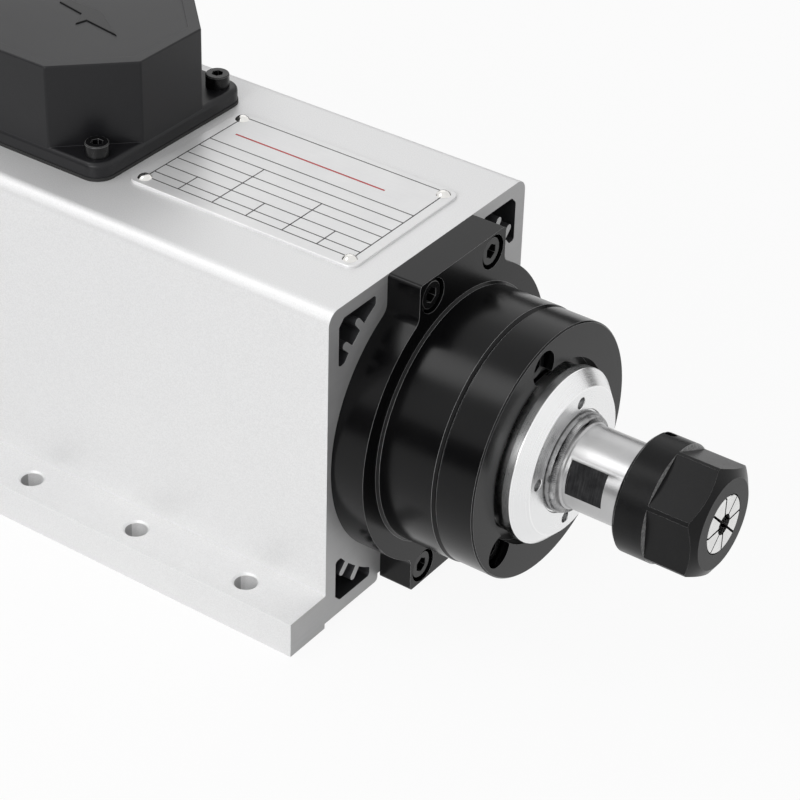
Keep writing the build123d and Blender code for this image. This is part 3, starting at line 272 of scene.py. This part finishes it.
# %% [markdown]
# ### The metals inside
# The bearings, the laminated cores, the rotor's cage, the windings and the brass terminals are
# only seen when the spindle is taken apart. They get the same care, because the pieces may be
# shown one by one: the cores show their stacked sheets, and the coils their wires, as lines.
# %% Finishes of the metals inside
finish("bearing_steel", dark=(0.50, 0.50, 0.51), light=(0.62, 0.62, 0.63), rough=(0.06, 0.18),
       pattern=rings, sockets={"Rings per metre": 8000.0}, metallic=1.0, depth=0.004,
       strength=0.3)
finish("ball_steel", dark=(0.60, 0.60, 0.62), light=(0.70, 0.70, 0.71), rough=(0.03, 0.09),
       pattern=grain, sockets={"Scale": 4000.0, "Contrast": 1.0}, metallic=1.0, depth=0.001,
       strength=0.1)
finish("zinc_steel", dark=(0.50, 0.50, 0.46), light=(0.66, 0.65, 0.60), rough=(0.20, 0.40),
       pattern=grain, sockets={"Scale": 1800.0, "Contrast": 2.0}, metallic=1.0, depth=0.02,
       strength=0.2, mottling=250)
finish("lamination_steel", dark=(0.12, 0.12, 0.13), light=(0.22, 0.22, 0.23), rough=(0.35, 0.60),
       pattern=lines, sockets={"Along": 15.0, "Across": 2000.0, "Upright": 15.0}, metallic=0.9,
       depth=0.05, strength=0.6, show=0.3)
finish("cage_aluminium", dark=(0.50, 0.50, 0.50), light=(0.64, 0.64, 0.64), rough=(0.35, 0.55),
       pattern=grain, sockets={"Scale": 900.0, "Contrast": 2.0}, metallic=1.0, depth=0.05,
       strength=0.4)
finish("terminal_brass", dark=(0.60, 0.42, 0.16), light=(0.76, 0.56, 0.24), rough=(0.16, 0.34),
       pattern=grain, sockets={"Scale": 1600.0, "Contrast": 2.0}, metallic=1.0, depth=0.02,
       strength=0.2, mottling=300)
finish("winding_copper", dark=(0.42, 0.13, 0.04), light=(0.66, 0.26, 0.09), rough=(0.16, 0.34),
       pattern=lines, sockets={"Along": 1400.0, "Across": 30.0, "Upright": 1400.0}, metallic=0.8,
       depth=0.3, strength=0.8, show=0.3)
print("finishes so far:", len(finishes))

# %% [markdown]
# ### The black metal finishes
# The flange and cap are turned aluminium, anodised black. Under the coating the lathe's rings
# still show as a faint silk, and the corners are painted paler, as a painted highlight with a
# little wear. The nut and screws are blackened steel, and the nut's ledge is painted pale grey, as
# a painted highlight on a face that the lamps hardly reach. Low gloss keeps the black deep, as a
# porous coating does.
# %% Black metal finishes
finish("black_anodised", dark=(0.0015, 0.0015, 0.0018), light=(0.003, 0.003, 0.0033),
       rough=(0.17, 0.27), pattern=rings, sockets={"Rings per metre": 3500.0}, depth=0.005,
       strength=0.3, mottling=35, edge_highlight_and_wear_tone=(0.42, 0.42, 0.425), show=0.15, gloss=0.2)
finish("black_oxide_steel", dark=(0.0035, 0.0035, 0.0038), light=(0.008, 0.008, 0.0085),
       rough=(0.26, 0.38), pattern=grain, sockets={"Scale": 2400.0, "Contrast": 2.5}, depth=0.02,
       strength=0.25, mottling=90, edge_highlight_and_wear_tone=(0.34, 0.34, 0.34), show=0.2, gloss=0.16)
# The nut's ledge: pale grey painted on as a highlight, on a face that the lamps hardly reach.
finish("ledge_highlight_oxide_steel", dark=(0.36, 0.36, 0.36), light=(0.52, 0.52, 0.52), rough=(0.34, 0.50),
       pattern=grain, sockets={"Scale": 1800.0, "Contrast": 3.5}, metallic=0.3, depth=0.02,
       strength=0.3, mottling=400, edge_highlight_and_wear_tone=(0.4, 0.4, 0.4), show=0.35)
finish("black_screws", dark=(0.003, 0.003, 0.0033), light=(0.007, 0.007, 0.0074),
       rough=(0.16, 0.28), pattern=grain, sockets={"Scale": 2800.0, "Contrast": 2.0}, depth=0.015,
       strength=0.2, mottling=300, edge_highlight_and_wear_tone=(0.12, 0.12, 0.12), show=0.15, gloss=0.3)
print("finishes so far:", len(finishes))

# %% [markdown]
# ### Plastics and rubber
# The terminal box comes from a mould with a spark-eroded face, which leaves a fine even grain, and
# the sign on its lid is polished smooth in the same mould. The fan, gland, terminal block and
# seals are other mouldings: each has its own grain, and rubber is the roughest.
# %% Plastic and rubber finishes
finish("box_plastic", dark=(0.008, 0.008, 0.0092), light=(0.011, 0.011, 0.0125),
       rough=(0.30, 0.42), pattern=grain, sockets={"Scale": 3000.0, "Contrast": 2.0}, depth=0.03,
       strength=0.3, mottling=20, edge_highlight_and_wear_tone=(0.03, 0.03, 0.033), show=0.12, gloss=0.3)
finish("polished_plastic", dark=(0.003, 0.003, 0.0035), light=(0.005, 0.005, 0.0056),
       rough=(0.26, 0.36), pattern=grain, sockets={"Scale": 3000.0, "Contrast": 2.0}, depth=0.02,
       strength=0.2, mottling=40, show=0.1, gloss=0.25)
finish("black_plastic", dark=(0.012, 0.012, 0.013), light=(0.020, 0.020, 0.021),
       rough=(0.34, 0.50), pattern=grain, sockets={"Scale": 2200.0, "Contrast": 2.0}, depth=0.04,
       strength=0.3, edge_highlight_and_wear_tone=(0.04, 0.04, 0.04), show=0.12)
finish("fan_plastic", dark=(0.016, 0.017, 0.018), light=(0.028, 0.029, 0.031), rough=(0.30, 0.46),
       pattern=grain, sockets={"Scale": 1800.0, "Contrast": 2.0}, depth=0.03, strength=0.25,
       show=0.1)
finish("gland_plastic", dark=(0.010, 0.010, 0.011), light=(0.018, 0.018, 0.019),
       rough=(0.22, 0.36), pattern=grain, sockets={"Scale": 2600.0, "Contrast": 1.5}, depth=0.02,
       strength=0.2, edge_highlight_and_wear_tone=(0.04, 0.04, 0.04), show=0.1)
finish("block_plastic", dark=(0.035, 0.030, 0.026), light=(0.055, 0.048, 0.042),
       rough=(0.30, 0.44), pattern=grain, sockets={"Scale": 2000.0, "Contrast": 2.0}, depth=0.03,
       strength=0.25, show=0.1)
finish("seal_rubber", dark=(0.010, 0.010, 0.010), light=(0.020, 0.020, 0.020), rough=(0.55, 0.75),
       pattern=grain, sockets={"Scale": 2400.0, "Contrast": 2.0}, ior=1.45, depth=0.05,
       strength=0.4, show=0.15)
finish("ball_cage_plastic", dark=(0.45, 0.30, 0.16), light=(0.58, 0.40, 0.22), rough=(0.35, 0.50),
       pattern=grain, sockets={"Scale": 2000.0, "Contrast": 2.0}, depth=0.02, strength=0.2,
       show=0.1)
finish("lead_insulation", dark=(0.10, 0.02, 0.016), light=(0.20, 0.035, 0.03), rough=(0.30, 0.46),
       pattern=grain, sockets={"Scale": 1500.0, "Contrast": 2.0}, depth=0.03, strength=0.25,
       show=0.1)
print("all finishes:", len(finishes))

# %% [markdown]
# ## Painting the frame
# Every piece of the frame names the finish it was given when it was designed, so painting it is a
# lookup. Pieces that later cells rebuild in more detail take their finish from here too.
# %% Paint the frame
def slot_of(name):
    """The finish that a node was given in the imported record."""
    return nodes[name].data.materials[0].name.split(".")[0]


slots = {name: slot_of(name) for name in nodes}
for name, node in nodes.items():
    node.data.materials[0] = finishes[slots[name]]
print("painted:", len(slots))

# %% [markdown]
# ## Setting a piece down
# A shape is built or changed as a bmesh, in the frame's own coordinates. `faced_outwards` turns its
# faces outwards, which shading and bevels rely on, and `settled` makes it an object with its
# finishes and lets it ride on the body that carries it.
# %% Helpers that set a piece down
def faced_outwards(shape):
    """The same bmesh with its faces turned outwards."""
    bmesh.ops.recalc_face_normals(shape, faces=shape.faces)
    return shape


def settled(name, shape, coats, body):
    """A piece made from a bmesh, with its finishes, riding on a body."""
    mesh = bpy.data.meshes.new(name)
    shape.to_mesh(mesh)
    shape.free()
    for coat in coats:
        mesh.materials.append(finishes[coat])
    piece = bpy.data.objects.new(name, mesh)
    bpy.context.collection.objects.link(piece)
    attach(piece, body)
    return piece


print("setting down: helpers ready")

# %% [markdown]
# ## Rounded edges
# No machined or moulded piece has a knife edge: it is deburred, tumbled or comes from a mould with
# a small radius, and that radius is what catches the light. `welded` joins a node's flat triangles
# back into whole faces, and `rounded` rounds the corners that a test picks. A Bevel modifier could
# round them too, but this way the rounded faces are known, and a finish can paint a paler tone
# there, as a painted highlight with a little wear.
# %% Helpers that round edges
weld_distance = 0.002 * mm
flat_turn = math.radians(0.4)
sharp_turn = math.radians(28)


def welded(name):
    """A bmesh of a node, with its corners welded and its flat faces whole."""
    shape = bmesh.new()
    shape.from_mesh(nodes[name].data)
    bmesh.ops.remove_doubles(shape, verts=shape.verts, dist=weld_distance)
    bmesh.ops.dissolve_limit(shape, angle_limit=flat_turn, verts=shape.verts, edges=shape.edges)
    return faced_outwards(shape)


def rounded(shape, radius, wanted):
    """Rounds every sharp edge, or those that a test wants, and counts them."""
    edge_layer = shape.faces.layers.float.new("edge")
    chosen = []
    for edge in shape.edges:
        middle = (edge.verts[0].co + edge.verts[1].co) / mm / 2
        sharp = len(edge.link_faces) == 2 and edge.calc_face_angle(0) > sharp_turn
        edge.smooth = not sharp
        if sharp and (wanted is None or wanted(middle)):
            chosen.append(edge)
    if chosen:
        made = bmesh.ops.bevel(
            shape, geom=chosen, offset=radius * mm, segments=2, affect="EDGES", profile=0.5,
            material=-1, clamp_overlap=True, loop_slide=True)
        for face in made["faces"]:
            face[edge_layer] = 1.0
    for face in shape.faces:
        face.smooth = True
    return len(chosen)


print("rounding: helpers ready")

# %% [markdown]
# ## Standing in for a node
# `softened` puts a rounded copy in a node's place. The copy keeps the node's size, because rounding
# only ever cuts into a corner. Some pieces have faces of another finish: each of those finishes
# comes with a test that picks its faces. Weighted normals keep the large flat faces flat to the
# eye, and leave all the turning of the light to the small rounded ones.
# %% Helpers that stand in for a node
def softened(name, body, radius, wanted=None, coats=()):
    """Puts a copy of a node with rounded edges in the node's place."""
    shape = welded(name)
    count = rounded(shape, radius, wanted)
    shape.normal_update()
    for index, (coat, test) in enumerate(coats, start=1):
        picked = [face for face in shape.faces
                  if test(face.calc_center_median() / mm, face.normal)]
        for face in picked:
            face.material_index = index
        print(name, "faces with", coat, ":", len(picked))
    both = [slots[name]] + [coat for coat, test in coats]
    piece = settled(name + "_soft", shape, both, body)
    piece.modifiers.new("even shading", "WEIGHTED_NORMAL").keep_sharp = True
    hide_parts(name)
    print(name, "edges rounded:", count, "faces:", len(piece.data.polygons))


def ahead_of(limit):
    """A test that is true in front of a plane across the spindle axis."""
    return lambda place: place.x > limit


def above(limit):
    """A test that is true over a height."""
    return lambda place: place.z > limit


print("standing in: helpers ready")

# %% [markdown]
# ### The body
# The body is one extrusion, sawn to length and milled at both ends. Its sides carry the blasted
# finish, the milled ends show the cutter's lines, and the insides of the cooling channels in its
# corners are painted nearly black, as painted shade where little light reaches. A face's direction
# and place tell which is which, so the body stays one piece and needs no cuts.
# %% Body
faces_along, faces_aside = 0.9, 0.5
near_ends = 80
channel_floor, channel_ceiling = 24, 80
channel_from, channel_to = 24, 43.5
channel_bottom, channel_top = 1.5, 100.5


def milled_end(place, normal):
    """True for the two milled ends."""
    return abs(normal.x) > faces_along


def in_shaded_channel(place, normal):
    """True inside a corner channel, where the painted shade goes."""
    low_or_high = place.z < channel_floor or place.z > channel_ceiling
    beside_bore = channel_from < abs(place.y) < channel_to
    inside = channel_bottom < place.z < channel_top
    return abs(normal.x) < faces_aside and low_or_high and beside_bore and inside


def outer_edge(place):
    """True for the edges round the milled ends."""
    return abs(place.x) > near_ends


# The channels' insides take the painted shade.
softened("motor_housing", "stator_body", radius=0.25, wanted=outer_edge, coats=(
    ("cut_aluminium", milled_end), ("channel_shade_aluminium", in_shaded_channel)))

# %% [markdown]
# ### The black front end
# The flange is turned with its nose in one piece, and its two ears are milled flat. The cap closes
# the bearings and is held by three screws. The tests leave out the edges that sit against the body
# or the bearings, where nobody sees them.
# %% Front end
body_front, cap_rear = 80, 109
softened("front_flange", "stator_body", radius=0.22, wanted=ahead_of(body_front))
softened("front_cap", "stator_body", radius=0.15, wanted=ahead_of(cap_rear))
for name in ("front_flange_screws", "front_cap_screws", "terminal_box_screws"):
    softened(name, "stator_body", radius=0.12)

# %% [markdown]
# ### The labyrinth disc, shaft, nut and collet
# These turn together. The disc flings cutting dust off before it reaches the bearings, the wrench
# flats hold the shaft while the nut is turned, and the nut's cone squeezes the collet shut on the
# tool. The flats are found by their direction, which is that of the milling cutter, and the nut's
# ledge by its place behind the six flats.
# %% Turning pieces
disc_rear = 122
shaft_from, shaft_to = 132, 146
flats_from, flats_to = 133.5, 145.5
flats_direction = math.radians(163.7)
facing_flats = 0.99
ledge_from, ledge_to = 159.5, 161
collet_mouth = 174.5


def on_shaded_flat(place, normal):
    """True on the two milled wrench flats, which are painted near black as a painted reflection."""
    facing = normal.y * math.cos(flats_direction) + normal.z * math.sin(flats_direction)
    return abs(facing) > facing_flats and flats_from < place.x < flats_to


def ledge_painted_light(place, normal):
    """True on the ledge between the nut's round collar and its six flats, painted pale as a
    highlight.
    """
    return abs(normal.x) > faces_along and ledge_from < place.x < ledge_to


def bare_shaft(place):
    """True along the part of the shaft that shows between the disc and the nut."""
    return shaft_from < place.x < shaft_to


softened("slinger_disc", "rotor_body", radius=0.15, wanted=ahead_of(disc_rear))
# The flats take the painted dark reflection.
softened("spindle_shaft", "rotor_body", radius=0.15, wanted=bare_shaft, coats=(
    ("flat_shade_steel", on_shaded_flat),))
# The nut's ledge takes the painted highlight.
softened("collet_nut", "nut_body", radius=0.2, coats=(("ledge_highlight_oxide_steel", ledge_painted_light),))
softened("collet", "collet_body", radius=0.08, wanted=ahead_of(collet_mouth))

# %% [markdown]
# ### The terminal box
# The box is one moulding with its square foot. Its lid panel is sunk a little, and a plain flash is
# moulded on it, the sign for electricity that such boxes carry. The flash is flat on top, so its
# corners are filled with one face, which is raised, and a Bevel modifier gives it the mould's small
# radius. The fill joins the corners in an order of its own, not in the order of the list.
# %% Terminal box
box_foot_top = 103.5
softened("terminal_box", "stator_body", radius=0.15, wanted=above(box_foot_top))
flash_points = [(-51.5, 2.6), (-38.6, -5.2), (-37.6, -1.6), (-24.8, -3.6), (-38.4, 5.2),
                (-41.4, 0.6), (-50.2, 5.4)]
flash_foot, flash_height, flash_rounding = 0.6, 0.56, 0.22
lid_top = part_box("terminal_box")[1][2] / mm
shape = bmesh.new()
flash_corners = [shape.verts.new((x * mm, y * mm, (lid_top - flash_foot) * mm))
                 for x, y in flash_points]
face = bmesh.ops.contextual_create(shape, geom=flash_corners)["faces"]
raised = bmesh.ops.extrude_face_region(shape, geom=face)["geom"]
tops = [item for item in raised if isinstance(item, bmesh.types.BMVert)]
bmesh.ops.translate(shape, verts=tops, vec=(0, 0, flash_height * mm))
flash_piece = settled("lid_flash", faced_outwards(shape), ["polished_plastic"], "stator_body")
bevel = flash_piece.modifiers.new("moulded edge", "BEVEL")
bevel.width = flash_rounding * mm
bevel.segments = 2
print("flash corners:", len(flash_points))

# %% [markdown]
# ### The nameplate
# The plate is brushed aluminium, screen-printed with a ruled table and held by four rivets. Its
# cells are bare here: a buyer's own plate would carry the ratings. The printed lines are thin bars
# instead of a picture, so they are sharp from any distance and go wherever the meshes go.
# %% Nameplate
plate_middle = 102.4
print_height, print_thickness = 102.8, 0.06
line = 0.17
left, right, top_line, bottom_line = -1.3, 69.2, 23.4, -20.2
rows = [7.6, 2.8, -2.4, -6.8, -11.8, -16.6]
columns = [(10.1, -11.8), (21.9, 2.8), (33.5, -11.8), (45.8, -2.4), (57.4, -11.8)]
heading = (3, 13.6, 55, 14.2)


def ruled_bars(name, bars, coat):
    """Thin printed bars, each given as (x1, y1, x2, y2) in millimetres, made as one piece."""
    shape = bmesh.new()
    for x1, y1, x2, y2 in bars:
        middle = Matrix.Translation(((x1 + x2) / 2 * mm, (y1 + y2) / 2 * mm, print_height * mm))
        size = Matrix.Diagonal(((x2 - x1) * mm, (y2 - y1) * mm, print_thickness * mm, 1))
        bmesh.ops.create_cube(shape, size=1, matrix=middle @ size)
    settled(name, faced_outwards(shape), [coat], "stator_body")
    print(name, "bars:", len(bars))


bars = [(left, y - line, right, y + line) for y in rows + [top_line, bottom_line]]
bars += [(x - line, bottom_line, x + line, top_line) for x in (left, right)]
bars += [(x - line, bottom_line, x + line, high) for x, high in columns]
finish("printed_black", dark=(0.012, 0.012, 0.012), light=(0.03, 0.03, 0.03), rough=(0.4, 0.6),
       pattern=grain, sockets={"Scale": 4000.0, "Contrast": 2.0}, mottling=300, show=0.2)
finish("printed_red", dark=(0.42, 0.02, 0.03), light=(0.55, 0.035, 0.045), rough=(0.4, 0.6),
       pattern=grain, sockets={"Scale": 4000.0, "Contrast": 2.0}, mottling=300, show=0.15)
softened("nameplate", "stator_body", radius=0.2, wanted=above(plate_middle))
ruled_bars("plate_rules", bars, "printed_black")
ruled_bars("plate_heading_rule", [heading], "printed_red")

# %% [markdown]
# ### The lock ring
# A ring in front of the disc stops it from creeping along the shaft. Its back is a smooth land, and
# its front is straight-knurled for grip: fine teeth all round, the corner chamfered. Circles with
# the same number of points are set along the axis, every second point of the toothed ones is sunk,
# and faces bridge each circle to the next, which gives one closed skin.
# %% Lock ring
ring_teeth = 150
ring_back, ring_step, ring_end = 128.15, 130.15, 131.65
ring_land, ring_crest, ring_groove, ring_bore, ring_chamfer = 14.4, 13.9, 13.6, 12.51, 0.35


def ring_loop(shape, x, crest, groove):
    """A circle about the axis, with every second point sunk from the crest to the groove."""
    rim = bmesh.ops.create_circle(shape, segments=2 * ring_teeth, radius=crest * mm)["verts"]
    bmesh.ops.scale(shape, verts=rim[::2], vec=(groove / crest, groove / crest, 1))
    stand = Matrix.Translation((x * mm, 0, axis_height)) @ Matrix.Rotation(math.pi / 2, 4, "Y")
    bmesh.ops.transform(shape, matrix=stand, verts=rim)
    return list({edge for vert in rim for edge in vert.link_edges})


shape = bmesh.new()
loops = [ring_loop(shape, x, crest, groove) for x, crest, groove in (
    (ring_back, ring_land, ring_land),
    (ring_step, ring_land, ring_land),
    (ring_step, ring_crest, ring_groove),
    (ring_end - ring_chamfer, ring_crest, ring_groove),
    (ring_end, ring_crest - ring_chamfer, ring_groove - ring_chamfer),
    (ring_end, ring_bore, ring_bore),
    (ring_back, ring_bore, ring_bore))]
for first, second in zip(loops, loops[1:] + loops[:1]):
    bmesh.ops.bridge_loops(shape, edges=first + second)
ring_piece = settled("lock_ring", faced_outwards(shape), ["spring_steel"], "rotor_body")
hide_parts("slinger_stop_ring")
print("lock ring faces:", len(ring_piece.data.polygons))

# %% [markdown]
# ## The camera
# The camera stands well back, in front of the spindle and to one side, and looks down at it through
# a long lens, which keeps the body's long edges nearly parallel. Its direction comes from three
# turns: yaw about the vertical, pitch downwards, and a slight roll.
# %% Camera
yaw, pitch, roll = 0.6038198, 0.5975429, 0.0310963
camera_place = (0.41296, -0.494565, 0.456861)
look = Vector((-math.sin(yaw) * math.cos(pitch), math.cos(yaw) * math.cos(pitch),
               -math.sin(pitch)))
level_side = look.cross(Vector((0, 0, 1))).normalized()
level_up = level_side.cross(look)
right_way = level_side * math.cos(roll) + level_up * math.sin(roll)
up_way = level_up * math.cos(roll) - level_side * math.sin(roll)
camera_data = bpy.data.cameras.new("camera")
camera_data.sensor_fit = "HORIZONTAL"
camera_data.sensor_width = 36
camera_data.lens = 117.339
camera = bpy.data.objects.new("camera", camera_data)
facing = Matrix((right_way, up_way, -look)).transposed().to_4x4()
camera.matrix_world = Matrix.Translation(camera_place) @ facing
bpy.context.collection.objects.link(camera)
bpy.context.scene.camera = camera
print("camera lens:", camera_data.lens)

# %% [markdown]
# ## Floor and background
# The floor and the background are plain white. A ray that comes straight from the camera, or by way
# of a mirror, finds them bright, but the light that they throw on the spindle is weaker, so they
# can be white without washing it out. A share of the floor stays plain paint, which keeps the
# spindle's soft shadow.
# %% Floor and background
floor_size = 8
floor_paint = (0.90, 0.90, 0.90)
floor_glow_share = 0.92
sky_lights, sky_seen = 0.45, 1.0


def seen_directly(tree):
    """1 for rays from the camera, in mirror reflections and through glass."""
    path = add(tree, "ShaderNodeLightPath").outputs
    seen = maths(tree, "MAXIMUM", path["Is Camera Ray"], path["Is Glossy Ray"])
    return maths(tree, "MAXIMUM", seen, path["Is Transmission Ray"])


bpy.ops.mesh.primitive_plane_add(size=floor_size, location=(0, 0, 0))
floor = bpy.context.object
floor.name = "floor"
floor_material = bpy.data.materials.new("floor")
floor_material.use_nodes = True
tree = floor_material.node_tree
tree.nodes.clear()
paint = add(tree, "ShaderNodeBsdfDiffuse", {"Color": floor_paint})
glow = add(tree, "ShaderNodeEmission", {"Color": (1, 1, 1), "Strength": 1.0})
share = maths(tree, "MULTIPLY", seen_directly(tree), floor_glow_share)
floor_mix = add(tree, "ShaderNodeMixShader", {0: share, 1: paint.outputs[0], 2: glow.outputs[0]})
add(tree, "ShaderNodeOutputMaterial", {"Surface": floor_mix.outputs[0]})
floor.data.materials.append(floor_material)

world = bpy.data.worlds.new("world")
world.use_nodes = True
tree = world.node_tree
sky = tree.nodes["Background"]
sky.inputs["Color"].default_value = (1, 1, 1, 1)
tree.links.new(between(tree, seen_directly(tree), sky_lights, sky_seen), sky.inputs["Strength"])
bpy.context.scene.world = world
print("floor and background ready")

# %% [markdown]
# ## Lamps and cards
# Three large soft lamps light the spindle, as the camera sees it: one from the left for the body's
# side, one high on the left that draws the bright band along the shaft, and one behind for the top
# faces. A lamp's energy follows from its size and its radiance, so the size can change alone.
# Polished metal shows only what it mirrors, so two dark cards stand low beside the spindle and
# give the shaft its dark bands. Nothing but mirror reflections sees them.
# %% Lamps and cards
card_black, card_roughness = (0.02, 0.02, 0.02), 0.9


def lamp(name, place, aim, size, radiance):
    """A square soft lamp that looks at a point, as bright as its radiance."""
    data = bpy.data.lights.new(name, "AREA")
    data.shape = "SQUARE"
    data.size = size
    data.energy = radiance * math.pi * size * size
    item = bpy.data.objects.new(name, data)
    item.location = place
    item.rotation_euler = (Vector(aim) - Vector(place)).to_track_quat("-Z", "Y").to_euler()
    item.visible_camera = False
    bpy.context.collection.objects.link(item)


def card(name, middle, length, height):
    """An upright dark card that only mirrors see."""
    shape = bmesh.new()
    stand = Matrix.Translation(middle) @ Matrix.Rotation(math.pi / 2, 4, "X")
    bmesh.ops.create_grid(shape, x_segments=1, y_segments=1, size=0.5,
                          matrix=stand @ Matrix.Diagonal((length, height, 1, 1)))
    mesh = bpy.data.meshes.new(name)
    shape.to_mesh(mesh)
    shape.free()
    mesh.materials.append(card_material)
    item = bpy.data.objects.new(name, mesh)
    bpy.context.collection.objects.link(item)
    item.visible_camera = False
    item.visible_shadow = False
    item.visible_diffuse = False
    return item


lamp("left lamp", place=(0.10, -1.10, 0.60), aim=(0, 0, 0.05), size=0.5, radiance=7.4)
lamp("high lamp", place=(-0.40, -0.32, 0.95), aim=(0.05, 0, 0.05), size=0.36, radiance=3.6)
lamp("back lamp", place=(-0.50, 0.75, 0.62), aim=(0, 0, 0.1), size=0.6, radiance=0.3)
card_material = bpy.data.materials.new("card")
card_material.use_nodes = True
card_sockets = card_material.node_tree.nodes["Principled BSDF"].inputs
card_sockets["Base Color"].default_value = (*card_black, 1)
card_sockets["Roughness"].default_value = card_roughness
left_card = card("left card", middle=(-0.7, -0.9, 0.18), length=1.8, height=0.36)
back_card = card("back card", middle=(-0.5, 1.1, 0.15), length=2.2, height=0.30)
bpy.context.scene.view_settings.view_transform = "Standard"
print("lamps:", len(bpy.data.lights))
